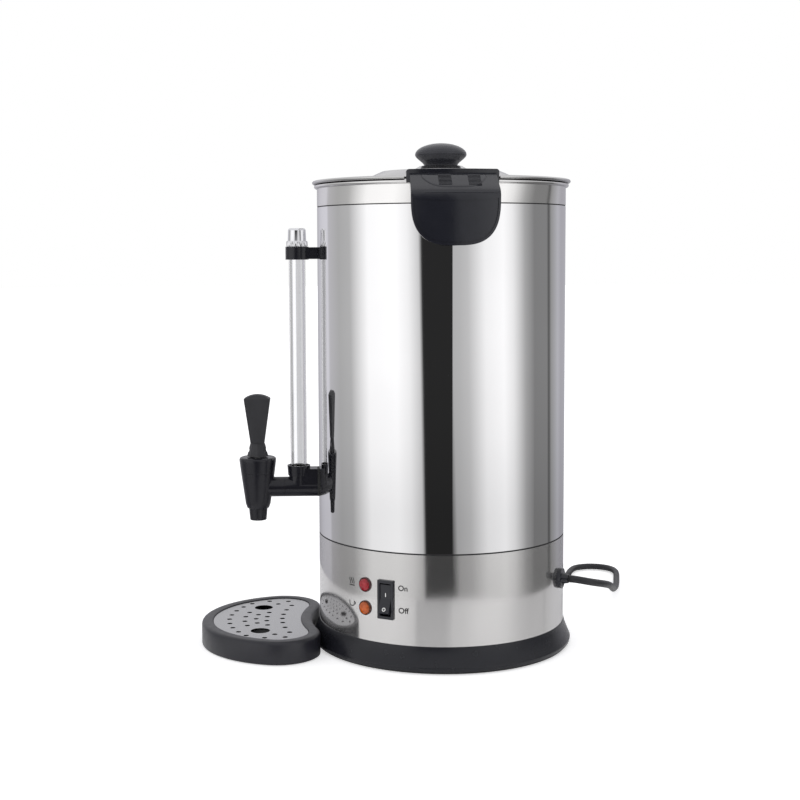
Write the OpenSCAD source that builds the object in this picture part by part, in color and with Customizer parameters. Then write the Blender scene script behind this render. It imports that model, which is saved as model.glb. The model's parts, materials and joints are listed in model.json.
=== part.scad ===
// Coffee urn: double-walled steel urn with a lever tap, sight gauge, percolator and drip tray.
// Millimetres. +Z is up and the origin is on the table, under the middle of the base.
// The tap faces -Y and the two handles lie on the X axis.
// An azimuth is measured from the tap, counter-clockwise seen from above.

/* [Barrel] */
// Outside diameter of the barrel
barrel_d = 210; // [196:1:236]
// Thickness of the steel sheet
sheet_t = 0.8; // [0.6:0.1:1.0]
// Height of the groove between the lower band and the barrel
seam_z = 95; // [90:1:102]
// Height of the seam groove's opening
seam_gap = 1.2; // [0.8:0.1:2]
// Height of the barrel's top edge
shoulder_z = 372; // [366:1:400]
// Height of the neck above the barrel
neck_h = 18.2; // [17:0.1:24]
// Thickness of the rolled rim of the tank
rim_bead_d = 3.4; // [2.6:0.1:4]
// Air gap between barrel and tank
wall_gap = 4.2; // [3.6:0.1:6]

/* [Base] */
// Height of the black base ring
base_ring_h = 20.8; // [19:0.1:26]
// How far the base ring flares beyond the barrel
base_flare = 6.1; // [4:0.1:10]
// How far the rubber foot stands below the base ring
foot_proud = 1; // [0.6:0.1:2]
// Width of the rubber foot
foot_w = 4.6; // [3:0.1:5]
// Thickness of the bottom cover
cover_t = 1.2; // [0.8:0.1:2]

/* [Lid] */
// Thickness of the lid's rolled edge
lid_bead_d = 2.8; // [2:0.1:3.2]
// How far the lid's edge stands out beyond the tank's rim
lid_overhang = 1.6; // [1:0.1:2]
// Diameter at the foot of the lid's dome
dome_d = 156; // [130:1:170]
// Diameter of the dome's flat crown
crown_d = 100; // [80:1:110]
// Height of the crown above the tank's rim
crown_h = 12; // [10:0.1:20]
// Height of the raised seat under the knob, above the crown
knob_seat_h = 3.6; // [2:0.1:5]
// Diameter of the knob
knob_d = 43.6; // [36:0.2:52]
// Height of the knob
knob_h = 19.2; // [16:0.1:26]
// Diameter of the knob's neck
knob_neck_d = 27.8; // [22:0.2:32]

/* [Handles] */
// Width of the handle's flap
handle_w = 68.4; // [62:0.2:72]
// How far the handle reaches out from the barrel
handle_reach = 31.5; // [29:0.5:40]
// Depth of the flap below its crease
handle_drop = 37.9; // [30:0.1:50]
// Thickness of the flap and of the deck
handle_t = 3.2; // [2.6:0.1:4]
// Width of the lip that hooks over the rim
lip_w = 72; // [66:0.5:76]

/* [Tap] */
// Distance from the barrel to the tap's axis
tap_reach = 52.3; // [48:0.1:62]
// Height of the tap's shank
tap_z = 133.3; // [131:0.1:150]
// Diameter of the shank
shank_d = 17; // [16.6:0.1:18]
// Diameter of the threaded end of the shank
thread_d = 14; // [13:0.1:14.4]
// Largest diameter of the tap's bonnet
bonnet_d = 31.5; // [30:0.1:36]
// Length of the spout below the shank's axis
spout_drop = 28.3; // [24:0.1:34]
// Height of the lever
lever_h = 53; // [46:0.5:62]
// Width of the lever's paddle at its top
lever_w = 22.4; // [18:0.1:28]
// Lift of the stem at full tilt of the lever
stem_lift = 3.6; // [3.4:0.1:4.4]

/* [Sight gauge] */
// Distance from the barrel to the tube's axis
gauge_reach = 17.2; // [15.5:0.1:19]
// Outside diameter of the tube
tube_d = 14; // [12:0.1:14.4]
// Bore of the tube
tube_bore = 10; // [8:0.1:10.5]
// Distance from the barrel's top edge down to the clip's middle
clip_below = 39; // [30:0.5:60]
// Height of the clip
clip_h = 10.9; // [8:0.1:14]
// Height of the chrome cap above its collar
cap_h = 10.8; // [8:0.1:14]

/* [Controls] */
// Azimuth of the rocker switch
switch_az = 60.3; // [58:0.1:75]
// Height of the middle of the switch
switch_z = 56.5; // [50:0.1:60]
// Width of the switch's bezel
bezel_w = 14.2; // [14:0.1:16]
// Height of the switch's bezel
bezel_h = 31.6; // [31:0.1:34]
// Full swing of the rocker, in degrees
rocker_swing = 22; // [16:1:24]
// Azimuth of the two lamps
lamp_az = 49.5; // [44:0.1:50]
// Diameter of a lamp's lens
lamp_d = 12; // [10:0.1:13]
// Height of the heating lamp
heating_lamp_z = 66.3; // [63:0.1:72]
// Height of the warming lamp
warm_lamp_z = 47.3; // [40:0.1:48]

/* [Drip tray] */
// Diameter of the tray's round front
tray_w = 160; // [150:1:170]
// Depth of the tray from its hollow side to its front
tray_depth = 95; // [86:0.2:110]
// Height of the tray
tray_h = 19; // [16:0.5:26]
// Radius of the tray's two rounded horns
horn_r = 34; // [30:0.5:38]
// Gap between the tray and the base ring
tray_gap = 0.6; // [0.4:0.1:6]
// Width of the tray's rim around the grille
rim_w = 9.6; // [7:0.1:12]
// Diameter of the grille's drain holes
drain_d = 4.4; // [3:0.1:5]
// Diameter of the grille's finger holes
finger_d = 16; // [14:0.5:20]

/* [Percolator] */
// Outside diameter of the pump tube
pump_tube_d = 10; // [8:0.1:14]
// Diameter of the coffee basket
basket_d = 104; // [90:1:120]
// Height of the coffee basket
basket_h = 72; // [50:1:90]

/* [Power cord] */
// Diameter of the cord
cord_d = 6; // [5.6:0.1:6.2]
// Azimuth of the cord's gland
gland_az = 155; // [150:1:160]
// Height of the cord's gland
gland_z = 61; // [58:0.5:64]
// Diameter of the gland's flange
gland_d = 16.8; // [15:0.1:20]

/* [Hidden] */
$fn = 180;

// Colours as the photograph shows them
black = [0.09, 0.09, 0.11];
steel = [0.78, 0.78, 0.80];
satin = [0.70, 0.70, 0.71];
rubber = [0.05, 0.05, 0.05];
clear = [0.82, 0.84, 0.85, 0.6];
brass = [0.75, 0.62, 0.30];

// Clearances
fit = 0.1;
run = 0.05;
free = 0.3;

// Barrel, tank and base
barrel_r = barrel_d / 2;
shell_in_r = barrel_r - sheet_t;
tank_r = shell_in_r - wall_gap;
tank_in_r = tank_r - sheet_t;
rim_z = shoulder_z + neck_h;
tank_z = seam_z + 7;
tank_floor_z = tank_z + sheet_t;
tank_corner = 5;
groove_h = 0.9;
groove_depth = 0.6;
base_r = barrel_r + base_flare;
foot_t = foot_proud + 0.6;
foot_in_r = base_r - 2.4 - foot_w;
ring_in_r = foot_in_r - 1.2;
ledge_z = 9;
ledge_t = 3;
ledge_in_r = ring_in_r - 10;
ring_lip_h = 6;
ring_lip_t = 2.5;
cover_r = ring_in_r - 1.5;
cover_screw_r = ledge_in_r + 4;

// Lid and knob
lid_seat = 0.2;
lid_wall_r = shell_in_r - 0.8;
lid_r = barrel_r + rim_bead_d - 1 + lid_overhang;
lid_plate_z = rim_z + lid_seat + lid_bead_d / 2 - sheet_t / 2;
lid_floor_z = rim_z - 2;
crown_z = rim_z + crown_h;
knob_seat_z = crown_z + knob_seat_h;
knob_seat_r = knob_neck_d / 2 + 4;
knob_foot_r = knob_seat_r + 6.6;
screw_r = 2;
pan_r = 3.8;
pan_h = 2.2;

// Handles
handle_r = barrel_r + handle_reach;
crease_z = shoulder_z + 4.4;
brow_z = crease_z + 3;
saddle_z0 = shoulder_z + 2;
saddle_z1 = rim_z - rim_bead_d - 0.8;
hook_z = saddle_z1 + 1;
hood_in_r = lid_wall_r + 1.2;
hood_wall_r = lid_r + 0.7;
hood_r = hood_wall_r + 3;
hood_top_z = rim_z + 7.2;
hood_roof_t = 2.8;
deck_top_z = rim_z + 4.7;
flap_power = 2.9;
lip_corner_r = 2.2;
handle_screw_spread = 10;
handle_screw_z = (saddle_z0 + saddle_z1) / 2;

// Tap and gauge, as radial distances from the urn's axis
tap_u = barrel_r + tap_reach;
gauge_u = barrel_r + gauge_reach;
gasket_t = 1.4;
block_u0 = barrel_r + fit + gasket_t;
shoulder_u = gauge_u + 11.8;
shank_bore_r = 4.2;
shank_end_u = tank_in_r - 13;
nut_h = 6;
seal_t = 4;
parting_z = tap_z + 12.6;
bonnet_z = parting_z + 13.3;
spout_z = tap_z - spout_drop;
seat_z = tap_z - 8.3;
chamber_r = 9;
spigot_h = 6.9;
spring_roof_z = bonnet_z - 7.2;
stem_r = 3;
stem_flange_z = seat_z + 9;
stem_flange_t = 1.2;
lever_z = bonnet_z + 0.8;
pin_z = lever_z + 5;
pin_r = 1.5;
neck_z = lever_z + 11;
lever_tilt = 30;
collar_r = 9.9;
block_top_z = tap_z + 16.1;
collar_z = block_top_z + 2.6;
socket_z = tap_z + thread_d / 2 + 2.6;
clip_z = shoulder_z - clip_below - clip_h / 2;
cap_collar_z = clip_z + clip_h + fit;
cap_collar_h = 4.7;
cap_z = cap_collar_z + cap_collar_h;
tube_top_z = cap_z + 5.4;

// Switch and lamps
panel_u = barrel_r + run;
bezel_t = 2;
pivot_u = barrel_r - 3.5;
rocker_r = 12.9;
rocker_w = 9.2;
rocker_face = 4.5;
pivot_r = 1.2;
housing_w = rocker_w + 2.6;
housing_h = 2 * rocker_r + 2.6;
housing_u = barrel_r - 17;
lamp_body_r = 4.4;
lamp_u = barrel_r - 15;

// Drip tray: a round dish cut hollow round the base, with rounded horns
hollow_r = base_r + tray_gap;
tray_r = tray_w / 2;
tray_u = hollow_r + tray_depth - tray_r;
horn_d1 = hollow_r + horn_r;
horn_d2 = tray_r - horn_r;
horn_u = (horn_d1 ^ 2 - horn_d2 ^ 2 + tray_u ^ 2) / (2 * tray_u);
horn_x = sqrt(horn_d1 ^ 2 - horn_u ^ 2);
tray_wall = 2.5;
basin_inset = rim_w + 3;
grille_t = 1.2;
grille_z = tray_h - 1 - grille_t;

// Percolator
pump_top_z = lid_floor_z - 10;
basket_z = pump_top_z - 14 - basket_h;
basket_stop_h = 4;

// Cord route from inside the base, out of the gland and along the table to the coil
cord_rise = 0.1;
cord_lie_z = 3.1;
tie_t = 0.6;
coil_x = -164;
coil_y = 24;
coil_r = 40;
coil_pitch = 6.6;
coil_turns = 2;
coil_z1 = cord_d / 2 + tie_t + 0.2;
coil_z2 = coil_z1 + 6.6;
coil_start_a = 180;
gland_dir = [sin(gland_az), -cos(gland_az), 0];
cord_in_u = barrel_r - 14;
gland_nose = 5;
gland_flange_t = 3.2;
cord_out_u = barrel_r + gland_flange_t + gland_nose;
cord_route = concat(
    [for (u = [cord_in_u, barrel_r - 4, cord_out_u, cord_out_u + cord_d]) u * gland_dir + [0, 0, gland_z]],
    [[49, 123, 58], [32, 138, 52], [-6, 150, 41], [-52, 161, 28], [-98, 172, 16], [-144, 184, 7.5],
     [-188, 194, 3.4], [-221, 200, cord_lie_z], [-238, 195, cord_lie_z], [-246, 180, cord_lie_z],
     [-241, 163, cord_lie_z], [-226, 154, cord_lie_z], [-206, 146, cord_lie_z], [-196, 126, cord_lie_z],
     [-198, 100, cord_lie_z], [-202, 74, 3.2], [-204, 50, 3.5], [-204, 36, coil_z1],
     [coil_x - coil_r, coil_y + cord_d, coil_z1]]);

// Points on an arc in a plane
function arc(c, r, a0, a1, n) = [for (i = [0 : n]) let (a = a0 + (a1 - a0) * i / n) c + r * [cos(a), sin(a)]];

// Unit vector
function unit(v) = v / norm(v);

// Direction of travel at point i of a path
function heading(p, i) = unit(p[min(i + 1, len(p) - 1)] - p[max(i - 1, 0)]);

// Point on a smooth curve between p1 and p2
function blend(p0, p1, p2, p3, t) =
    0.5 * (2 * p1 + (p2 - p0) * t + (2 * p0 - 5 * p1 + 4 * p2 - p3) * t ^ 2
        + (3 * p1 - p0 - 3 * p2 + p3) * t ^ 3);

// Smooth curve through points, with steps between each pair
function curve(p, steps) = [
    for (i = [0 : len(p) - 2])
        for (j = [0 : steps - 1])
            blend(p[max(i - 1, 0)], p[i], p[i + 1], p[min(i + 2, len(p) - 1)], j / steps),
    p[len(p) - 1]];

// Length of a path
function path_length(p) = [for (i = [1 : len(p) - 1]) norm(p[i] - p[i - 1])] * [for (i = [1 : len(p) - 1]) 1];

// Ring of points round point i of a path that never runs straight up
function ring(p, i, r, sides) =
    let (t = heading(p, i), s = unit(cross(t, [0, 0, 1])), u = cross(s, t))
    [for (k = [0 : sides - 1]) p[i] + r * (cos(360 * k / sides) * s + sin(360 * k / sides) * u)];

// Tube swept along a path, as one closed skin of triangles
module tube(p, r, sides) {
    last = (len(p) - 1) * sides;
    walls = [
        for (i = [0 : len(p) - 2])
            for (k = [0 : sides - 1])
                let (a = i * sides + k, b = i * sides + (k + 1) % sides)
                each [[a, b, b + sides], [a, b + sides, a + sides]]];
    ends = [for (k = [1 : sides - 2]) each [[0, k + 1, k], [last, last + k, last + k + 1]]];
    polyhedron(points = [for (i = [0 : len(p) - 1]) each ring(p, i, r, sides)], faces = concat(walls, ends));
}

// The coil spirals in on the table, climbs in half a turn and spirals out on top
coil_end = 2 * coil_turns + 0.5;
function coil_radius(a) = coil_r - coil_pitch * min(a, coil_end - a);
function coil_climb(a) = let (s = min(1, max(0, 2 * (a - coil_turns)))) s * s * (3 - 2 * s);
function coil_point(a) = [
    coil_x + coil_radius(a) * cos(coil_start_a + 360 * a),
    coil_y + coil_radius(a) * sin(coil_start_a + 360 * a),
    coil_z1 + (coil_z2 - coil_z1) * coil_climb(a)];
coil_steps = 24;
coil_path = concat(
    [[coil_x - coil_r, coil_y + cord_d, coil_z1]],
    [for (i = [0 : coil_end * coil_steps]) coil_point(i / coil_steps)],
    [[coil_x + coil_r, coil_y + cord_d, coil_z2]]);
cord_path = curve(cord_route, 2);
coil_gap = min([for (i = [0 : len(coil_path) - 1]) for (j = [i + coil_steps / 2 : len(coil_path) - 1])
    norm(coil_path[i] - coil_path[j])]) - cord_d;
echo(coil_least_gap = coil_gap, cord_length = path_length(curve(cord_route, 8)) + path_length(coil_path));

// Turns its children from the tap's side to an azimuth
module at(azimuth) {
    rotate([0, 0, azimuth]) children();
}

// Rod along the radius, between two distances from the urn's axis
module rod(u0, u1, z, r) {
    translate([0, -u0, z]) rotate([90, 0, 0]) cylinder(h = u1 - u0, r = r);
}

// Round washer or sleeve along the radius
module sleeve(u0, u1, z, r, bore_r) {
    difference() {
        rod(u0, u1, z, r);
        rod(u0 - 1, u1 + 1, z, bore_r);
    }
}

// Upright sleeve
module pipe(z0, z1, r, bore_r) {
    difference() {
        translate([0, 0, z0]) cylinder(h = z1 - z0, r = r);
        translate([0, 0, z0 - 1]) cylinder(h = z1 - z0 + 2, r = bore_r);
    }
}

// Box between two distances from the urn's axis, centred across
module block(u0, u1, w, z0, z1) {
    translate([-w / 2, -u1, z0]) cube([w, u1 - u0, z1 - z0]);
}

// Everything outside an upright cylinder, within a wide block
module outside(r, u1, w, z0, z1) {
    difference() {
        block(0, u1, w, z0, z1);
        translate([0, 0, z0 - 1]) cylinder(h = z1 - z0 + 2, r = r);
    }
}

// Pan-head screw pointing up, head below
module screw(length, r, head_r, head_h) {
    cylinder(h = length, r = r);
    translate([0, 0, -head_h]) cylinder(h = head_h, r = head_r);
}

module foot_ring() {
    color(rubber) pipe(0, foot_t, foot_in_r + foot_w, foot_in_r);
}

module base_ring() {
    steps = 8;
    wide_z = 5;
    top_r = barrel_r + 0.4;
    lip_r = shell_in_r - fit;
    flare = [for (i = [0 : steps]) let (s = i / steps)
        [top_r + (base_r - top_r) * s ^ 1.3, base_ring_h + (wide_z - base_ring_h) * s]];
    color(black) difference() {
        rotate_extrude() polygon(concat(
            flare,
            [[base_r - 0.5, foot_proud + 1.3], [base_r - 1.6, foot_proud], [ring_in_r, foot_proud],
             [ring_in_r, ledge_z], [ledge_in_r, ledge_z], [ledge_in_r, ledge_z + ledge_t],
             [lip_r - ring_lip_t, ledge_z + ledge_t], [lip_r - ring_lip_t, base_ring_h + ring_lip_h],
             [lip_r, base_ring_h + ring_lip_h], [lip_r, base_ring_h]]));
        pipe(foot_proud - 1, foot_t, foot_in_r + foot_w + fit, foot_in_r - fit);
        for (i = [0 : 3]) at(45 + 90 * i) translate([0, -cover_screw_r, ledge_z - 1])
            cylinder(h = ledge_t + 2, r = screw_r + run);
    }
}

module bottom_cover() {
    vents = 12;
    color(satin) difference() {
        translate([0, 0, ledge_z - cover_t]) cylinder(h = cover_t, r = cover_r);
        for (i = [0 : 3]) at(45 + 90 * i) translate([0, -cover_screw_r, 0])
            cylinder(h = 20, r = screw_r + fit);
        for (i = [0 : vents - 1]) at(360 * i / vents) block(30, 55, 4, 0, 20);
    }
}

module cover_screws() {
    color(steel) for (i = [0 : 3]) at(45 + 90 * i) translate([0, -cover_screw_r, ledge_z - cover_t])
        screw(cover_t + ledge_t, screw_r, pan_r, pan_h);
}

module base_band() {
    color(steel) difference() {
        pipe(base_ring_h, seam_z - seam_gap / 2, barrel_r, shell_in_r);
        at(switch_az) block(barrel_r - 20, barrel_r + 5, housing_w + 2 * fit,
            switch_z - housing_h / 2 - fit, switch_z + housing_h / 2 + fit);
        for (z = [heating_lamp_z, warm_lamp_z]) at(lamp_az)
            rod(barrel_r - 5, barrel_r + 5, z, lamp_body_r + fit);
        at(gland_az) rod(barrel_r - 5, barrel_r + 5, gland_z, cord_d / 2 + 2.6 + fit);
    }
}

module seam_ring() {
    r = shell_in_r - fit;
    overlap = 8;
    color(satin) rotate_extrude() polygon([
        [r - sheet_t, seam_z - overlap], [r, seam_z - overlap], [r, seam_z - seam_gap / 2],
        [barrel_r - 0.4, seam_z - seam_gap / 2], [barrel_r - 0.4, seam_z + seam_gap / 2],
        [r, seam_z + seam_gap / 2], [r, seam_z + overlap], [r - sheet_t, seam_z + overlap]]);
}

module outer_shell() {
    color(steel) difference() {
        pipe(seam_z + seam_gap / 2, shoulder_z - groove_h, barrel_r, shell_in_r);
        rod(barrel_r - 5, barrel_r + 5, tap_z, thread_d / 2 + free);
        rod(barrel_r - 5, barrel_r + 5, clip_z + clip_h / 2, clip_screw_r + fit);
    }
}

module inner_tank() {
    flare_h = 6;
    step_r = shell_in_r - 0.2;
    seat_r = barrel_r - groove_depth;
    bead_r = rim_bead_d / 2;
    color(satin) difference() {
        union() {
            rotate_extrude() polygon(concat(
                [[0, tank_z]],
                arc([tank_r - tank_corner, tank_z + tank_corner], tank_corner, -90, 0, 6),
                [[tank_r, shoulder_z - groove_h - flare_h], [step_r, shoulder_z - groove_h - 1],
                 [step_r, shoulder_z - groove_h], [seat_r, shoulder_z - groove_h], [seat_r, shoulder_z],
                 [barrel_r, shoulder_z], [barrel_r, rim_z - bead_r],
                 [shell_in_r, rim_z - bead_r], [shell_in_r, shoulder_z + 1.4],
                 [step_r - sheet_t, shoulder_z + 0.4], [step_r - sheet_t, shoulder_z - groove_h - 0.7],
                 [tank_in_r, shoulder_z - groove_h - flare_h + 0.3]],
                arc([tank_r - tank_corner, tank_z + tank_corner], tank_corner - sheet_t, 0, -90, 6),
                [[0, tank_floor_z]]));
            rotate_extrude() translate([barrel_r + rim_bead_d - 1 - bead_r, rim_z - bead_r])
                circle(r = bead_r);
        }
        rod(tank_r - 5, tank_r + 5, tap_z, thread_d / 2 + free);
        for (side = [90, 270], spread = [-1, 1]) at(side + spread * handle_screw_spread)
            rod(barrel_r - 5, barrel_r + 5, handle_screw_z, screw_r + fit);
    }
}

// Underside of the tank, from the heat plate down
plate_t = 4;
plate_r = 74;
plate_z = tank_z - plate_t;
element_r = 58;
element_tube_r = 3.6;
element_z = plate_z - element_tube_r;
element_leg_a = 12;
clamp_z = element_z - element_tube_r;
clamp_t = 1.6;
stud_r = 3;
stud_drop = 7;

module heat_plate() {
    color([0.72, 0.73, 0.75]) union() {
        translate([0, 0, plate_z]) cylinder(h = plate_t, r = plate_r);
        translate([0, 0, clamp_z - clamp_t - stud_drop])
            cylinder(h = plate_z - clamp_z + clamp_t + stud_drop, r = stud_r);
    }
}

module heating_element() {
    leg_drop = 18;
    gap_a = 16;
    color([0.45, 0.43, 0.42]) union() {
        rotate([0, 0, gap_a / 2]) rotate_extrude(angle = 360 - gap_a)
            translate([element_r, element_z]) circle(r = element_tube_r);
        for (side = [-1, 1]) rotate([0, 0, side * element_leg_a])
            translate([element_r, 0, element_z - leg_drop]) cylinder(h = leg_drop, r = element_tube_r - 0.6);
    }
}

module element_clamp() {
    width = 14;
    color(steel) difference() {
        translate([-width / 2, -element_r - 8, clamp_z - clamp_t]) cube([width, 2 * element_r + 16, clamp_t]);
        translate([0, 0, clamp_z - 10]) cylinder(h = 20, r = stud_r + fit);
    }
}

module clamp_nut() {
    color(brass) difference() {
        translate([0, 0, clamp_z - clamp_t - 4]) cylinder(h = 4, r = 5.8, $fn = 6);
        translate([0, 0, clamp_z - 20]) cylinder(h = 30, r = stud_r + run);
    }
}

// Disc thermostat hanging under the heat plate
module disc_switch(x, y, r, h) {
    blade_drop = 9;
    translate([x, y, plate_z - h]) cylinder(h = h, r = r);
    for (side = [-1, 1]) translate([x + side * r * 0.6 - 0.4, y - 3, plate_z - h - blade_drop])
        cube([0.8, 6, blade_drop]);
}

thermostat_x = -32;
cutout_x = 30;

module thermostat() {
    color([0.85, 0.84, 0.80]) disc_switch(thermostat_x, 0, 12, 13);
}

module thermal_cutout() {
    color([0.80, 0.78, 0.70]) disc_switch(cutout_x, 0, 8.5, 11);
}

block_x = 22;
block_y = 42;
block_w = 40;
block_d = 18;
block_h = 15;

module terminal_block() {
    color([0.88, 0.87, 0.83]) difference() {
        translate([block_x - block_w / 2, block_y - block_d / 2, ledge_z]) cube([block_w, block_d, block_h]);
        for (i = [0 : 3]) translate([lead_x(i), block_y, ledge_z + block_h - 8])
            cylinder(h = 20, r = wire_r - 0.2);
    }
}

// Leads from the terminal block to the thermostat, the element, the switch and the cord
wire_r = 1.2;
lead_pitch = 10;
lead_z = ledge_z + block_h + 0.9;
function lead_x(i) = block_x + lead_pitch * (i - 1.5);
stat_in = [thermostat_x, 7, plate_z - 24];
leg_in = [element_r * cos(element_leg_a), element_r * sin(element_leg_a), element_z - 19.5];
switch_in = [(housing_u - 10) * sin(switch_az), -(housing_u - 10) * cos(switch_az), switch_z];
gland_in = (cord_in_u - 1) * gland_dir + [0, 0, gland_z];
wire_routes = [
    [[lead_x(0), block_y, lead_z], [lead_x(0) - 6, block_y - 6, lead_z + 14],
     [thermostat_x + 12, 16, stat_in.z - 14], stat_in],
    [[lead_x(1), block_y, lead_z], [lead_x(1) + 6, block_y - 5, lead_z + 14],
     [leg_in.x - 14, leg_in.y + 6, leg_in.z - 12], leg_in],
    [[lead_x(2), block_y, lead_z], [lead_x(2) + 5, block_y - 8, lead_z + 14],
     [switch_in.x - 16, switch_in.y + 16, switch_z - 8], switch_in],
    [[lead_x(3), block_y, lead_z], [lead_x(3), block_y + 8, lead_z + 14],
     [gland_in.x - 3, gland_in.y - 14, gland_z - 8], gland_in]];

module wire_harness() {
    color([0.55, 0.16, 0.12]) for (route = wire_routes) tube(curve(route, 4), wire_r, 8);
}

module pump_base() {
    bell_r = 36;
    bell_h = 20;
    wall = 1.2;
    hub_r = pump_tube_d / 2 + 3;
    color(satin) difference() {
        union() {
            translate([0, 0, tank_floor_z]) cylinder(h = bell_h, r1 = bell_r, r2 = hub_r);
            translate([0, 0, tank_floor_z + bell_h]) cylinder(h = 8, r = hub_r);
        }
        translate([0, 0, tank_floor_z - eps]) cylinder(h = bell_h - wall, r1 = bell_r - wall, r2 = hub_r - 1);
        translate([0, 0, tank_floor_z + bell_h - 4]) cylinder(h = 20, r = pump_tube_d / 2 + fit);
        for (i = [0 : 3]) at(45 + 90 * i)
            block(bell_r - 12, bell_r + 2, 8, tank_floor_z - 1, tank_floor_z + 2.5);
    }
}

eps = 0.01;

module pump_tube() {
    wall = 0.9;
    color(satin) difference() {
        union() {
            translate([0, 0, tank_floor_z + 17])
                cylinder(h = pump_top_z - tank_floor_z - 17, r = pump_tube_d / 2);
            translate([0, 0, basket_z - basket_stop_h])
                cylinder(h = basket_stop_h, r = pump_tube_d / 2 + 3.5);
        }
        translate([0, 0, tank_floor_z]) cylinder(h = pump_top_z, r = pump_tube_d / 2 - wall);
    }
}

module coffee_basket() {
    wall = 0.8;
    floor_holes = 12;
    r = basket_d / 2;
    color(satin) difference() {
        translate([0, 0, basket_z]) cylinder(h = basket_h, r = r);
        difference() {
            translate([0, 0, basket_z + wall]) cylinder(h = basket_h, r = r - wall);
            translate([0, 0, basket_z]) cylinder(h = basket_h - 6, r = pump_tube_d / 2 + 2);
        }
        translate([0, 0, basket_z - 1]) cylinder(h = basket_h + 2, r = pump_tube_d / 2 + free);
        for (row = [1 : 3]) for (i = [0 : floor_holes - 1]) at(360 * (i + row / 2) / floor_holes)
            translate([0, -(8 + row * (r - 14) / 3), basket_z - 1]) cylinder(h = 4, r = 1.2);
    }
}

module basket_spreader() {
    holes = 16;
    r = basket_d / 2 + 1.6;
    z = basket_z + basket_h + fit;
    color(satin) difference() {
        translate([0, 0, z]) cylinder(h = 1, r = r);
        translate([0, 0, z - 1]) cylinder(h = 4, r = pump_tube_d / 2 + free);
        for (row = [1 : 2]) for (i = [0 : holes - 1]) at(360 * (i + row / 2) / holes)
            translate([0, -(6 + row * (r - 12) / 2), z - 1]) cylinder(h = 4, r = 1.4);
    }
}

module lid() {
    t = sheet_t;
    p = lid_plate_z;
    f = lid_floor_z;
    w = lid_wall_r;
    edge_r = lid_r - lid_bead_d / 2;
    dome_r = dome_d / 2;
    crown_r = crown_d / 2;
    crown_fall = 1;
    slope_r = crown_r + 8;
    slope_z = crown_z - 4.5;
    vent_r = 2;
    color(satin) difference() {
        union() {
            rotate_extrude() polygon([
                [0, knob_seat_z], [knob_seat_r, knob_seat_z], [knob_foot_r, crown_z],
                [crown_r, crown_z - crown_fall], [slope_r, slope_z],
                [dome_r - 4, f + 1.1], [dome_r, f], [w - t, f], [w - t, p + t], [edge_r, p + t], [edge_r, p],
                [w, p], [w, f - t], [dome_r, f - t], [dome_r - 4.4, f + 1.1 - t],
                [slope_r - 0.4, slope_z - t],
                [crown_r - 0.2, crown_z - crown_fall - t], [knob_foot_r - 0.2, crown_z - t],
                [knob_seat_r - 0.2, knob_seat_z - t], [0, knob_seat_z - t]]);
            rotate_extrude() translate([edge_r, rim_z + lid_seat + lid_bead_d / 2])
                circle(r = lid_bead_d / 2);
        }
        translate([0, 0, knob_seat_z - 5]) cylinder(h = 10, r = screw_r + fit);
        translate([0, -crown_r + 8, crown_z - 8]) cylinder(h = 12, r = vent_r);
        for (side = [90, 270]) at(side) outside(w, lid_r + 5, lip_w + 3, f - 1, crown_z);
    }
}

module lid_knob() {
    neck_r = knob_neck_d / 2;
    cap_r = knob_d / 2;
    half_h = knob_h / 2;
    color(black) difference() {
        rotate_extrude() polygon(concat(
            [[0, knob_seat_z], [neck_r, knob_seat_z]],
            [for (i = [1 : 8]) let (f = i / 8)
                [neck_r + (cap_r - neck_r) * f ^ 2 * (3 - 2 * f), knob_seat_z + half_h * f]],
            [for (a = [10 : 10 : 90]) [cap_r * cos(a), knob_seat_z + half_h + half_h * sin(a)]]));
        translate([0, 0, knob_seat_z - 1]) cylinder(h = knob_h * 0.6, r = screw_r + run);
    }
}

washer_t = 1;

module knob_washer() {
    color(rubber) pipe(knob_seat_z - sheet_t - washer_t, knob_seat_z - sheet_t, 6, screw_r + fit);
}

module knob_screw() {
    head_z = knob_seat_z - sheet_t - washer_t;
    color(steel) translate([0, 0, head_z]) screw(sheet_t + washer_t + knob_h * 0.5, screw_r, pan_r, pan_h);
}

// Lower outline of the handle's flap, a rounded D drawn in by an inset
function flap_curve(inset) = [for (i = [0 : 36]) let (a = 180 + 5 * i)
    [sign(cos(a)) * (handle_w / 2 - inset) * abs(cos(a)) ^ (2 / flap_power),
     crease_z - (handle_drop - inset) * abs(sin(a)) ^ (2 / flap_power)]];

// Whole front outline of the handle
function flap_outline() = concat(
    [[handle_w / 2 - 0.8, deck_top_z + 2], [-handle_w / 2 + 0.8, deck_top_z + 2]], flap_curve(0));

// Front outline of the lip, with rounded upper corners
function lip_outline() = concat(
    [[-lip_w / 2, hook_z - 5], [lip_w / 2, hook_z - 5]],
    [for (side = [1, -1], i = [0 : 6]) let (a = 45 * (1 - side) + 15 * i)
        [side * (lip_w / 2 - lip_corner_r) + lip_corner_r * cos(a),
         hood_top_z - lip_corner_r + lip_corner_r * sin(a)]]);

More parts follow.
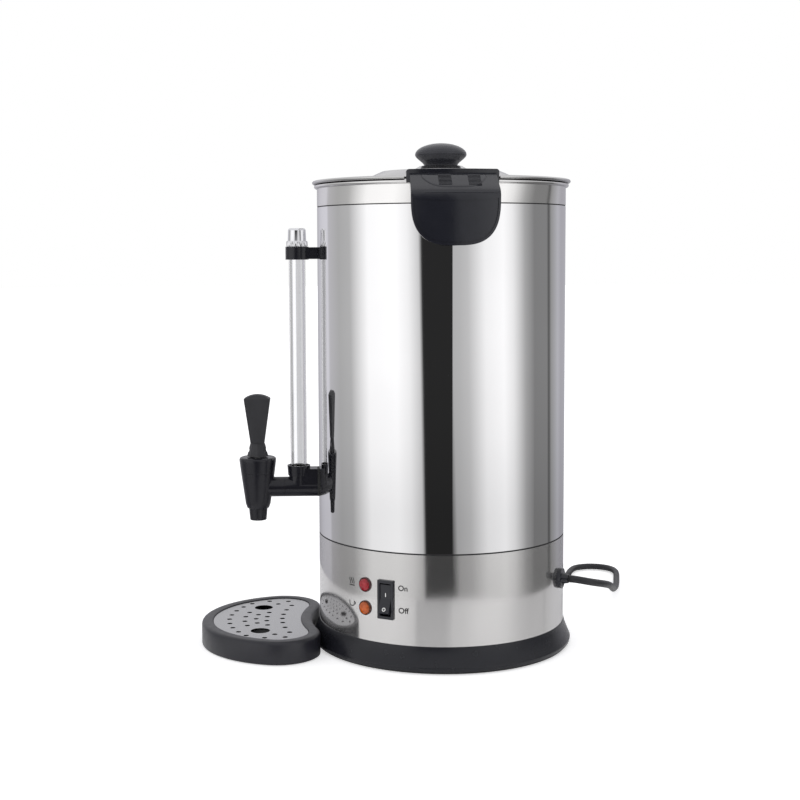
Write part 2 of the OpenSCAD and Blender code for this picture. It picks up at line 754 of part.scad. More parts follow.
module handle() {
    inner_r = handle_r - handle_t;
    cheek_t = 3;
    saddle_w = handle_w - 4;
    edge_w = 1.8;
    face_sink = 0.7;
    face_z = crease_z - 4;
    face_rise = 1.8;
    difference() {
        union() {
            intersection() {
                rotate_extrude() polygon([
                    [hood_in_r, hood_top_z - hood_roof_t], [hood_wall_r, hood_top_z - hood_roof_t],
                    [hood_wall_r, hook_z], [hood_r, hook_z], [hood_r, hood_top_z], [hood_in_r, hood_top_z]]);
                translate([0, -barrel_r / 2, 0]) rotate([90, 0, 0]) linear_extrude(height = handle_r)
                    polygon(lip_outline());
            }
            intersection() {
                rotate_extrude() polygon([
                    [barrel_r + fit, saddle_z0], [hood_r, saddle_z0], [hood_r, hook_z + 1],
                    [hood_wall_r, hook_z + 1], [hood_wall_r, saddle_z1], [barrel_r + fit, saddle_z1]]);
                block(barrel_r / 2, hood_r + 5, saddle_w, saddle_z0 - 5, hood_top_z);
            }
            intersection() {
                rotate_extrude() polygon([
                    [hood_r - 1, deck_top_z], [handle_r - 3, brow_z + 2], [handle_r - 0.8, brow_z],
                    [handle_r, brow_z - 2], [handle_r, crease_z - handle_drop - 1],
                    [inner_r, crease_z - handle_drop - 1], [inner_r, brow_z - handle_t],
                    [hood_r - 1, deck_top_z - handle_t - 1.6]]);
                translate([0, -barrel_r / 2, 0]) rotate([90, 0, 0]) linear_extrude(height = handle_r)
                    polygon(flap_outline());
            }
            for (side = [-1, 1]) translate([side * (handle_w / 2 - 3.4) - cheek_t / 2, 0, 0])
                rotate([90, 0, 90]) linear_extrude(height = cheek_t) polygon([
                    [-(barrel_r + 4), saddle_z0], [-(handle_r - handle_t - 4), brow_z - handle_t - 3],
                    [-(handle_r - handle_t - 4), brow_z - handle_t + 4], [-(barrel_r + 4), saddle_z1]]);
        }
        for (spread = [-1, 1]) at(spread * handle_screw_spread)
            rod(barrel_r - 5, hood_r - 1.5, handle_screw_z, screw_r + run);
        intersection() {
            pipe(crease_z - handle_drop, crease_z, handle_r + 5, handle_r - face_sink);
            translate([0, -barrel_r / 2, 0]) rotate([90, 0, 0]) linear_extrude(height = handle_r)
                polygon(concat(
                    [for (i = [4 : -1 : -4]) let (f = i / 4)
                        [(handle_w / 2 - edge_w) * f, face_z + face_rise * f ^ 2]],
                    [for (q = flap_curve(edge_w)) if (q.y < face_z) q]));
        }
    }
}

module handle_right() {
    color(black) at(90) handle();
}

module handle_left() {
    color(black) at(270) handle();
}

module handle_screws() {
    seat_u = sqrt(shell_in_r ^ 2 - pan_r ^ 2) - run;
    color(steel) for (side = [90, 270], spread = [-1, 1]) at(side + spread * handle_screw_spread)
        translate([0, -seat_u, handle_screw_z]) rotate([90, 0, 0])
            screw(hood_r - 2 - seat_u, screw_r, pan_r, pan_h);
}

module tap_body() {
    tip_r = 7;
    tip_top_r = 8;
    cone_r = 10.6;
    top_r = bonnet_d / 2 - 1.4;
    cone_z = tap_z - 14.2;
    outlet_r = 5;
    color(black) difference() {
        union() {
            translate([0, -tap_u, 0]) rotate_extrude() polygon([
                [0, spout_z], [tip_r, spout_z], [tip_top_r, cone_z - 3.7], [cone_r - 1.3, cone_z - 3.7],
                [cone_r, cone_z], [top_r, parting_z], [0, parting_z]]);
            rod(shoulder_u, tap_u, tap_z, shank_d / 2);
            rod(shank_end_u, shoulder_u, tap_z, thread_d / 2);
        }
        translate([0, -tap_u, seat_z]) cylinder(h = parting_z, r = chamber_r);
        translate([0, -tap_u, spout_z - 1]) cylinder(h = seat_z, r = outlet_r);
        rod(shank_end_u - 1, tap_u, tap_z, shank_bore_r);
        translate([0, -gauge_u, tap_z]) cylinder(h = shank_d, r = 2.4);
    }
}

module tap_bonnet() {
    r = bonnet_d / 2;
    color(black) translate([0, -tap_u, 0]) rotate_extrude() polygon([
        [chamber_r - 2.4, parting_z - spigot_h], [chamber_r - fit, parting_z - spigot_h],
        [chamber_r - fit, parting_z],
        [r - 1.4, parting_z], [r, bonnet_z - 2.2], [r - 0.4, bonnet_z - 0.7], [r - 1.6, bonnet_z],
        [stem_r + run, bonnet_z], [stem_r + run, spring_roof_z], [chamber_r - 2.4, spring_roof_z]]);
}

cup_h = 5.7;
cup_sink = 3;

module tap_stem() {
    foot_z = seat_z + free + cup_h - cup_sink;
    top_z = pin_z + 3.2;
    color(steel) translate([0, -tap_u, 0]) difference() {
        union() {
            translate([0, 0, foot_z]) cylinder(h = top_z - foot_z, r = stem_r);
            translate([0, 0, stem_flange_z]) cylinder(h = stem_flange_t, r = chamber_r - 3);
        }
        translate([0, 10, pin_z]) rotate([90, 0, 0]) cylinder(h = 20, r = pin_r + run);
    }
}

module seat_cup() {
    z = seat_z + free;
    color([0.75, 0.74, 0.70]) translate([0, -tap_u, 0]) difference() {
        translate([0, 0, z]) cylinder(h = cup_h, r = chamber_r - 1.8);
        translate([0, 0, z + cup_h - cup_sink]) cylinder(h = cup_h, r = stem_r + run);
    }
}

spring_wire_r = 0.6;
spring_turns = 6;

module tap_spring() {
    z0 = stem_flange_z + stem_flange_t + spring_wire_r + fit;
    z1 = spring_roof_z - spring_wire_r - fit;
    r = stem_r + 1.8;
    path = [for (i = [0 : 8 * spring_turns]) let (s = i / (8 * spring_turns))
        [r * cos(360 * spring_turns * s), r * sin(360 * spring_turns * s) - tap_u, z0 + (z1 - z0) * s]];
    color(steel) tube(path, spring_wire_r, 6);
}

module tap_lever() {
    top_z = lever_z + lever_h;
    crest = 3.7;
    neck_w = 11.6;
    neck_t = 10;
    top_t = 14;
    skirt_r = 8.4;
    crest_r = (lever_w ^ 2 / 4 + crest ^ 2) / (2 * crest);
    crest_a = asin(lever_w / 2 / crest_r);
    slot = stem_r + free;
    slot_drop = pin_z - lever_z + 1;
    reach = slot / cos(lever_tilt);
    color(black) translate([0, -tap_u, 0]) difference() {
        union() {
            intersection() {
                translate([-top_t, 0, 0]) rotate([90, 0, 90]) linear_extrude(height = 2 * top_t)
                    polygon(concat([[-neck_w / 2, neck_z], [neck_w / 2, neck_z]],
                        arc([0, top_z - crest_r], crest_r, 90 - crest_a, 90 + crest_a, 8)));
                translate([0, lever_w, 0]) rotate([90, 0, 0]) linear_extrude(height = 2 * lever_w) polygon([
                    [-neck_t / 2, neck_z], [neck_t / 2, neck_z], [top_t / 2, top_z - crest],
                    [top_t / 2 - 2, top_z], [-top_t / 2 + 2, top_z], [-top_t / 2, top_z - crest]]);
            }
            intersection_for(i = [0 : 3]) rotate([0, 0, 22.5 + 45 * i]) translate([0, 20, 0])
                rotate([90, 0, 0]) linear_extrude(height = 40) polygon([[-skirt_r, lever_z],
                    [skirt_r, lever_z], [neck_w / 2, neck_z], [-neck_w / 2, neck_z]]);
        }
        translate([0, slot, 0]) rotate([90, 0, 0]) linear_extrude(height = 2 * slot)
            polygon([[-slot, pin_z], [reach, pin_z], [reach + slot_drop * tan(lever_tilt), pin_z - slot_drop],
                [-slot, pin_z - slot_drop]]);
        translate([0, slot, pin_z]) rotate([90, 0, 0]) cylinder(h = 2 * slot, r = stem_r * 1.5 + free);
        translate([0, 20, pin_z]) rotate([90, 0, 0]) cylinder(h = 40, r = pin_r + 0.02);
    }
}

module lever_pin() {
    half = 6.4;
    color(steel) rod(tap_u - half, tap_u + half, pin_z, pin_r);
}

// Cross-section of the gauge block along the radius
module block_section(u0, u1) {
    rod(u0, u1, tap_z, shank_d / 2);
    block(u0, u1, shank_d - 0.8, tap_z, block_top_z);
}

module gauge_block() {
    color(black) difference() {
        union() {
            block_section(barrel_r - 5, gauge_u);
            rod(gauge_u - 5, shoulder_u, tap_z, shank_d / 2);
            translate([0, -gauge_u, tap_z]) cylinder(h = block_top_z - tap_z, r = shank_d / 2 - 0.1);
            translate([0, -gauge_u, block_top_z - 6])
                cylinder(h = collar_z - block_top_z + 6, r1 = collar_r - 0.7, r2 = collar_r);
        }
        translate([0, 0, tap_z - 50]) cylinder(h = 100, r = block_u0);
        rod(0, shoulder_u + 1, tap_z, thread_d / 2 + run);
        translate([0, -gauge_u, tap_z]) cylinder(h = 40, r = 2.4);
        translate([0, -gauge_u, socket_z]) cylinder(h = 40, r = tube_d / 2 + fit);
        translate([0, -gauge_u, collar_z - 3]) cylinder(h = 40, r = tube_d / 2 + 1.4);
    }
}

module shank_gasket() {
    color(rubber) intersection() {
        pipe(tap_z - 50, tap_z + 50, block_u0 - fit / 2, barrel_r + fit / 2);
        difference() {
            block_section(barrel_r - 10, block_u0 + 5);
            rod(0, block_u0 + 10, tap_z, thread_d / 2 + run);
        }
    }
}

module tank_seal() {
    color([0.80, 0.79, 0.76]) intersection() {
        sleeve(tank_in_r - seal_t, tank_in_r + 5, tap_z, thread_d / 2 + 4.5, thread_d / 2 + fit);
        translate([0, 0, tap_z - 50]) cylinder(h = 100, r = tank_in_r - run);
    }
}

module shank_nut() {
    u = tank_in_r - seal_t;
    color(satin) difference() {
        translate([0, -u + nut_h, tap_z]) rotate([90, 0, 0])
            cylinder(h = nut_h, r = thread_d / 2 + 5, $fn = 6);
        rod(u - nut_h - 1, u + 1, tap_z, thread_d / 2 + run);
    }
}

module sight_tube() {
    color(clear) translate([0, -gauge_u, 0]) pipe(socket_z + fit, tube_top_z, tube_d / 2, tube_bore / 2);
}

module tube_seal() {
    color(rubber) translate([0, -gauge_u, 0])
        pipe(collar_z - 3, collar_z - 0.4, tube_d / 2 + 1.3, tube_d / 2 + run);
}

module gauge_cap() {
    wall = 0.75;
    r = tube_d / 2 + wall;
    color([0.85, 0.85, 0.87]) translate([0, -gauge_u, 0]) difference() {
        rotate_extrude() polygon([
            [0, cap_collar_z], [r + 1.25, cap_collar_z], [r + 1.25, cap_z - 0.5], [r + 0.8, cap_z],
            [r, cap_z],
            [r - 0.4, cap_z + cap_h - 1.4], [r - 1.6, cap_z + cap_h], [0, cap_z + cap_h]]);
        translate([0, 0, cap_collar_z - 1])
            cylinder(h = tube_top_z + fit - cap_collar_z + 1, r = tube_d / 2 + fit);
    }
}

clip_screw_r = 1.5;
clip_arm_w = 13;

module gauge_clip() {
    ring_r = tube_d / 2 + 2.8;
    arm_inset = 0.5;
    color(black) difference() {
        union() {
            translate([0, -gauge_u, clip_z]) cylinder(h = clip_h, r = ring_r);
            block(barrel_r - 10, gauge_u, clip_arm_w, clip_z + arm_inset, clip_z + clip_h - arm_inset);
        }
        translate([0, 0, clip_z - 5]) cylinder(h = clip_h + 10, r = barrel_r + run);
        translate([0, -gauge_u, clip_z - 5]) cylinder(h = clip_h + 10, r = tube_d / 2 + fit);
        rod(barrel_r - 5, gauge_u - tube_d / 2 - 1, clip_z + clip_h / 2, clip_screw_r + run);
    }
}

module clip_screw() {
    head_r = 3;
    head_h = 1.8;
    seat_u = sqrt(shell_in_r ^ 2 - head_r ^ 2) - run;
    color(steel) translate([0, -seat_u, clip_z + clip_h / 2]) rotate([90, 0, 0])
        screw(gauge_u - tube_d / 2 - 1.5 - seat_u, clip_screw_r, head_r, head_h);
}

module switch_housing() {
    mouth_h = 2 * rocker_r + 2 * free;
    mouth_w = rocker_w + 2 * free;
    color(black) at(switch_az) difference() {
        union() {
            outside(panel_u, barrel_r + bezel_t, bezel_w, switch_z - bezel_h / 2, switch_z + bezel_h / 2);
            block(housing_u, barrel_r + bezel_t / 2, housing_w,
                switch_z - housing_h / 2, switch_z + housing_h / 2);
        }
        block(housing_u + 2, barrel_r + bezel_t + 5, mouth_w, switch_z - mouth_h / 2, switch_z + mouth_h / 2);
        translate([-20, -pivot_u, switch_z]) rotate([0, 90, 0]) cylinder(h = 40, r = pivot_r + run);
    }
}

module switch_rocker() {
    half = rocker_r + 2;
    color(black) at(switch_az) translate([0, -pivot_u, switch_z]) rotate([-rocker_swing / 2, 0, 0]) union() {
        intersection() {
            translate([-rocker_w / 2, 0, 0]) rotate([90, 0, 90]) linear_extrude(height = rocker_w) polygon([
                [-rocker_face, 0], [-rocker_face - half * tan(rocker_swing / 2), half], [6, half], [6, -half],
                [-rocker_face - half * tan(rocker_swing / 2), -half]]);
            translate([-rocker_w / 2 - 1, 0, 0]) rotate([0, 90, 0]) cylinder(h = rocker_w + 2, r = rocker_r);
        }
        translate([-housing_w / 2 + 0.2, 0, 0]) rotate([0, 90, 0]) cylinder(h = housing_w - 0.4, r = pivot_r);
    }
}

module switch_terminals() {
    blade_w = 4.8;
    color(brass) at(switch_az) for (i = [-1 : 1])
        block(housing_u - 9, housing_u, blade_w, switch_z + 8 * i - 0.4, switch_z + 8 * i + 0.4);
}

// Indicator lamp: faceted lens outside, round body through the band
module lamp(z) {
    lens_h = 3.4;
    at(lamp_az) union() {
        difference() {
            union() {
                rod(barrel_r - 5, barrel_r + 1.2, z, lamp_d / 2);
                translate([0, -barrel_r - 1.2, z]) rotate([90, 0, 0])
                    cylinder(h = lens_h - 1.2, r1 = lamp_d / 2 - 0.5, r2 = lamp_d / 2 - 2.6);
            }
            translate([0, 0, z - 20]) cylinder(h = 40, r = panel_u);
        }
        rod(lamp_u, barrel_r + 0.6, z, lamp_body_r);
    }
}

module heating_lamp() {
    color([0.80, 0.08, 0.12]) lamp(heating_lamp_z);
}

module warm_lamp() {
    color([0.92, 0.42, 0.08]) lamp(warm_lamp_z);
}

module lamp_clips() {
    clip_r = lamp_body_r + 2.4;
    u = sqrt(shell_in_r ^ 2 - clip_r ^ 2) - run;
    color(satin) for (z = [heating_lamp_z, warm_lamp_z]) at(lamp_az)
        sleeve(u - 1, u, z, clip_r, lamp_body_r + run);
}

// Tray outline, drawn in by an inset
function tray_outline(inset) = let (
    lead = atan2(tray_u - horn_u, horn_x),
    turn = atan2(horn_u, -horn_x))
    concat(
        arc([0, -tray_u], tray_r - inset, -180 - lead, lead, 32),
        arc([horn_x, -horn_u], horn_r - inset, lead, turn, 14),
        arc([0, 0], hollow_r + inset, turn - 180, -turn, 10),
        arc([-horn_x, -horn_u], horn_r - inset, 180 - turn, 180 - lead, 14));

module tray_slab(inset, z0, z1) {
    translate([0, 0, z0]) linear_extrude(height = z1 - z0) polygon(tray_outline(inset));
}

module drip_tray() {
    floor_t = 2;
    color(black) difference() {
        tray_slab(0, 0, tray_h);
        tray_slab(rim_w, grille_z - free, tray_h + 1);
        tray_slab(basin_inset, 1 + floor_t, tray_h + 1);
        difference() {
            tray_slab(tray_wall, -1, grille_z - free - tray_wall);
            tray_slab(basin_inset - tray_wall, -2, tray_h);
        }
        tray_slab(basin_inset - tray_wall - eps, -1, 1);
    }
}

// Row of round holes on an arc about a point on the radius, spaced in shares of the tray's width
module drain_row(centre_u, r, shares) {
    for (share = shares) let (a = share * tray_w / r * 180 / PI)
        translate([r * sin(a), -centre_u - r * cos(a), grille_z - 1])
            cylinder(h = grille_t + 2, r = drain_d / 2);
}

module drip_grille() {
    arc_u = tray_u - tray_r * 0.395;
    finger_u = tray_u + tray_r * 0.355;
    finger_x = tray_r * 0.475;
    front_inset = 14;
    back_inset = 16.3;
    front_r = tray_u + tray_r - rim_w - front_inset - arc_u;
    back_r = hollow_r + rim_w + back_inset;
    color(steel) difference() {
        tray_slab(rim_w + free, grille_z, grille_z + grille_t);
        drain_row(arc_u, front_r, [-0.348, -0.264, -0.176, -0.088, 0, 0.088, 0.176, 0.264, 0.348]);
        drain_row(arc_u, front_r - 13.2, [-0.135, -0.047, 0.047, 0.135]);
        drain_row(arc_u, front_r - 22.9, [-0.086, 0, 0.086]);
        drain_row(0, back_r, [-0.28, -0.181, -0.085, 0, 0.085, 0.181, 0.28]);
        drain_row(0, back_r + 13.4, [-0.316, -0.128, -0.041, 0.041, 0.128, 0.316]);
        drain_row(0, back_r + 24.4, [-0.382, 0.382]);
        drain_row(0, back_r + 8.3, [-0.376, 0.376]);
        for (side = [-1, 1]) translate([side * finger_x, -finger_u, grille_z - 1])
            cylinder(h = grille_t + 2, r = finger_d / 2);
    }
}

module cord_gland() {
    bush_r = cord_d / 2 + 2.6;
    color(black) at(gland_az) difference() {
        union() {
            difference() {
                rod(barrel_r - 5, barrel_r + gland_flange_t, gland_z, gland_d / 2);
                translate([0, 0, gland_z - 20]) cylinder(h = 40, r = panel_u);
            }
            rod(cord_in_u + 2, barrel_r + 1, gland_z, bush_r);
            translate([0, -barrel_r - gland_flange_t, gland_z]) rotate([90, 0, 0])
                cylinder(h = gland_nose, r1 = cord_d / 2 + 1.6, r2 = cord_d / 2 + 0.7);
        }
        rod(cord_in_u, cord_out_u + 5, gland_z, cord_d / 2 + fit);
    }
}

module gland_nut() {
    bush_r = cord_d / 2 + 2.6;
    nut_r = bush_r + 4;
    u = sqrt(shell_in_r ^ 2 - nut_r ^ 2) - run;
    color(black) at(gland_az) difference() {
        translate([0, -u + 4, gland_z]) rotate([90, 0, 0]) cylinder(h = 4, r = nut_r, $fn = 6);
        rod(u - 5, u + 1, gland_z, bush_r + run);
    }
}

module power_cord() {
    color(black) tube(cord_path, cord_d / 2, 8);
}

module cord_coil() {
    color(black) tube(coil_path, cord_d / 2, 6);
}

// Strap round the four strands on the coil's far side
module cord_tie() {
    width = 9;
    slack = 0.9;
    y0 = coil_y + coil_r - 1.75 * coil_pitch - cord_d / 2 - slack;
    y1 = coil_y + coil_r - 0.75 * coil_pitch + cord_d / 2 + slack;
    z0 = tie_t;
    z1 = coil_z2 + cord_d / 2 + 0.2;
    color(rubber) difference() {
        translate([coil_x - width / 2, y0 - tie_t, 0]) cube([width, y1 - y0 + 2 * tie_t, z1 + tie_t]);
        translate([coil_x - width, y0, z0]) cube([2 * width, y1 - y0, z1 - z0]);
    }
}

plug_x = coil_x + coil_r;
plug_y = coil_y + cord_d;
plug_neck = 22;
plug_len = 34;
plug_w = 26;

module plug_body() {
    half_h = coil_z2 - 0.2;
    color(black) translate([plug_x, plug_y, coil_z2]) union() {
        rotate([-90, 0, 0]) cylinder(h = plug_neck, r1 = cord_d / 2 + 0.8, r2 = cord_d / 2 + 2.6);
        translate([0, 0, -half_h]) linear_extrude(height = 2 * half_h) polygon([
            [-7, plug_neck], [7, plug_neck], [plug_w / 2, plug_neck + 10], [plug_w / 2, plug_neck + plug_len],
            [-plug_w / 2, plug_neck + plug_len], [-plug_w / 2, plug_neck + 10]]);
    }
}

module plug_pins() {
    pitch = 12.7;
    face_y = plug_y + plug_neck + plug_len;
    color(brass) translate([plug_x, face_y, coil_z2]) union() {
        for (side = [-1, 1]) translate([side * pitch / 2 - 0.75, 0, -1]) cube([1.5, 17, 6.3]);
        translate([0, 0, -6]) rotate([-90, 0, 0]) cylinder(h = 20, r = 2.4);
    }
}

foot_ring();
base_ring();
bottom_cover();
cover_screws();
base_band();
seam_ring();
outer_shell();
inner_tank();
heat_plate();
heating_element();
element_clamp();
clamp_nut();
thermostat();
thermal_cutout();
terminal_block();
wire_harness();
pump_base();
pump_tube();
coffee_basket();
basket_spreader();
lid();
lid_knob();
knob_washer();
knob_screw();
handle_right();
handle_left();
handle_screws();
tap_body();
tap_bonnet();
tap_stem();
seat_cup();
tap_spring();
tap_lever();
lever_pin();
gauge_block();
shank_gasket();
tank_seal();
shank_nut();
sight_tube();
tube_seal();
gauge_cap();
gauge_clip();
clip_screw();
switch_housing();
switch_rocker();
switch_terminals();
heating_lamp();
warm_lamp();
lamp_clips();
drip_tray();
drip_grille();
cord_gland();
gland_nut();
power_cord();
cord_coil();
cord_tie();
plug_body();
plug_pins();
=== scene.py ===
import json
import math

import bmesh
import bpy
from mathutils import Matrix, Vector


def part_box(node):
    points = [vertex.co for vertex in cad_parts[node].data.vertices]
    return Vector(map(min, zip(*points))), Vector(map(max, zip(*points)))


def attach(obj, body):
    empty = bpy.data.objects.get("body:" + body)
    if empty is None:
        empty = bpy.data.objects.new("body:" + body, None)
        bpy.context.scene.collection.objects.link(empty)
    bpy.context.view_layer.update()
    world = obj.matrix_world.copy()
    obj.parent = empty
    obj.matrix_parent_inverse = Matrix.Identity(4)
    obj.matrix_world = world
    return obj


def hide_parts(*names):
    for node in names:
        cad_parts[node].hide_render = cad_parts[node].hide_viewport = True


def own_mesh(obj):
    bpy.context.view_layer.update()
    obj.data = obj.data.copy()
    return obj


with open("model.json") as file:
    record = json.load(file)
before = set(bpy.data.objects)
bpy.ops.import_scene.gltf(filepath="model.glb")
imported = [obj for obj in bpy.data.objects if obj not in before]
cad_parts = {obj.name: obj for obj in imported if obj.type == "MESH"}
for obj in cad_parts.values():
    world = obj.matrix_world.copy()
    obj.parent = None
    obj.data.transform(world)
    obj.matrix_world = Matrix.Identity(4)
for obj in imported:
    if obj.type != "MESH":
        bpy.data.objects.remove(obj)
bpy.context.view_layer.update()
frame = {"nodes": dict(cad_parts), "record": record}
nodes = frame["nodes"]
scene = bpy.context.scene

# Lengths are in millimetres and azimuths in degrees from the tap, unless a line says otherwise
MM = 0.001
BARREL_R = 105
CAMERA_AZ, GLAND_AZ, SWITCH_AZ, LAMP_AZ, SIGN_AZ = 85, 155, 60.3, 49.5, 41.4
RED_Z, AMBER_Z = 66.3, 47.3


# Camera at the photograph's place, in metres, with the frame shifted as in a cut picture
def make_camera():
    away, height = 1.1888, 0.33516
    sensor, focal_px, frame_px = 36, 1391.05, 800
    yaw, pitch, roll = math.radians(-2.863), math.radians(4.641), math.radians(-0.255)
    turn = math.radians(CAMERA_AZ)
    flat = Vector((math.sin(yaw), math.cos(yaw), 0))
    c, s = math.cos(turn), math.sin(turn)

    def to_urn(v):
        return Vector((c * v.x - s * v.y, s * v.x + c * v.y, v.z))

    fwd = to_urn(flat * math.cos(pitch) + Vector((0, 0, -math.sin(pitch))))
    up = to_urn(flat * math.sin(pitch) + Vector((0, 0, math.cos(pitch))))
    right = fwd.cross(up)
    up = math.cos(roll) * up - math.sin(roll) * right
    right = fwd.cross(up)
    cam = bpy.data.cameras.new("camera")
    cam.sensor_width = sensor
    cam.lens = sensor * focal_px / frame_px
    cam.shift_x, cam.shift_y = 0.0356, -0.0460
    cam.clip_start, cam.clip_end = 0.01, 100
    ob = bpy.data.objects.new("camera", cam)
    scene.collection.objects.link(ob)
    ob.matrix_world = Matrix((right, up, -fwd)).transposed().to_4x4()
    ob.location = to_urn(Vector((0, -away, height)))
    scene.camera = ob


make_camera()


# Cord: the route of the power cord and of its coil, as in the solids
def blend_point(p0, p1, p2, p3, t):
    return 0.5 * (2 * p1 + (p2 - p0) * t + (2 * p0 - 5 * p1 + 4 * p2 - p3) * t ** 2
                  + (3 * p1 - p0 - 3 * p2 + p3) * t ** 3)


def smooth_path(p, steps):
    out = []
    for i in range(len(p) - 1):
        a, d = p[max(i - 1, 0)], p[min(i + 2, len(p) - 1)]
        out += [blend_point(a, p[i], p[i + 1], d, j / steps) for j in range(steps)]
    return out + [p[-1]]


def cord_points():
    az = math.radians(GLAND_AZ)
    out = Vector((math.sin(az), -math.cos(az), 0))
    gland_z, lie, low_z, high_z = 61, 3.1, 3.8, 10.4
    path_steps, in_gland = 8, 17
    route = [out * u + Vector((0, 0, gland_z)) for u in (91, 101, 113.2, 119.2)]
    route += [Vector(p) for p in (
        (49, 123, 58), (32, 138, 52), (-6, 150, 41), (-52, 161, 28), (-98, 172, 16), (-144, 184, 7.5),
        (-188, 194, 3.4), (-221, 200, lie), (-238, 195, lie), (-246, 180, lie), (-241, 163, lie),
        (-226, 154, lie), (-206, 146, lie), (-196, 126, lie), (-198, 100, lie), (-202, 74, 3.2),
        (-204, 50, 3.5), (-204, 36, low_z), (-204, 30, low_z))]
    free = smooth_path(route, path_steps)[in_gland:]
    coil_x, coil_y, coil_r, pitch = -164, 24, 40, 6.6
    turns, turn_steps, climb_at, climb_rate = 4.5, 48, 2, 2
    coil = []
    for i in range(1, int(turns * turn_steps) + 1):
        a = i / turn_steps
        r = coil_r - pitch * min(a, turns - a)
        s = min(1, max(0, climb_rate * (a - climb_at)))
        ang = math.radians(180 + 360 * a)
        coil.append(Vector((coil_x + r * math.cos(ang), coil_y + r * math.sin(ang),
                            low_z + (high_z - low_z) * s * s * (3 - 2 * s))))
    start = [Vector((coil_x - coil_r, y, low_z)) for y in (27, 24)]
    tail = [Vector((coil_x + coil_r, y, high_z)) for y in (27, 32)]
    return [p * MM for p in free + start + coil + tail]


def make_cord():
    radius = 0.003
    pts = cord_points()
    data = bpy.data.curves.new("mains_cord", "CURVE")
    data.dimensions = "3D"
    data.bevel_depth = 1.0
    data.bevel_resolution = 5
    data.use_fill_caps = True
    spline = data.splines.new("POLY")
    spline.points.add(len(pts) - 1)
    for q, p in zip(spline.points, pts):
        q.co = (*p, 1)
        q.radius = radius
    spline.use_smooth = True
    ob = bpy.data.objects.new("mains_cord", data)
    scene.collection.objects.link(ob)
    length = sum((b - a).length for a, b in zip(pts, pts[1:]))
    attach(ob, "urn")
    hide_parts("power_cord", "cord_coil")
    tuple(pts[0])
    return ob


cord = make_cord()


# Colour mix nodes; their colour sockets go by number
MIX_A, MIX_B, MIX_OUT = 6, 7, 2


def color_mix(t, blend="MIX"):
    n = t.nodes.new("ShaderNodeMix")
    n.data_type = "RGBA"
    n.blend_type = blend
    n.inputs["Factor"].default_value = 1.0
    return n


def product(t, a, b):
    n = color_mix(t, "MULTIPLY")
    t.links.new(a, n.inputs[MIX_A])
    t.links.new(b, n.inputs[MIX_B])
    return n.outputs[MIX_OUT]


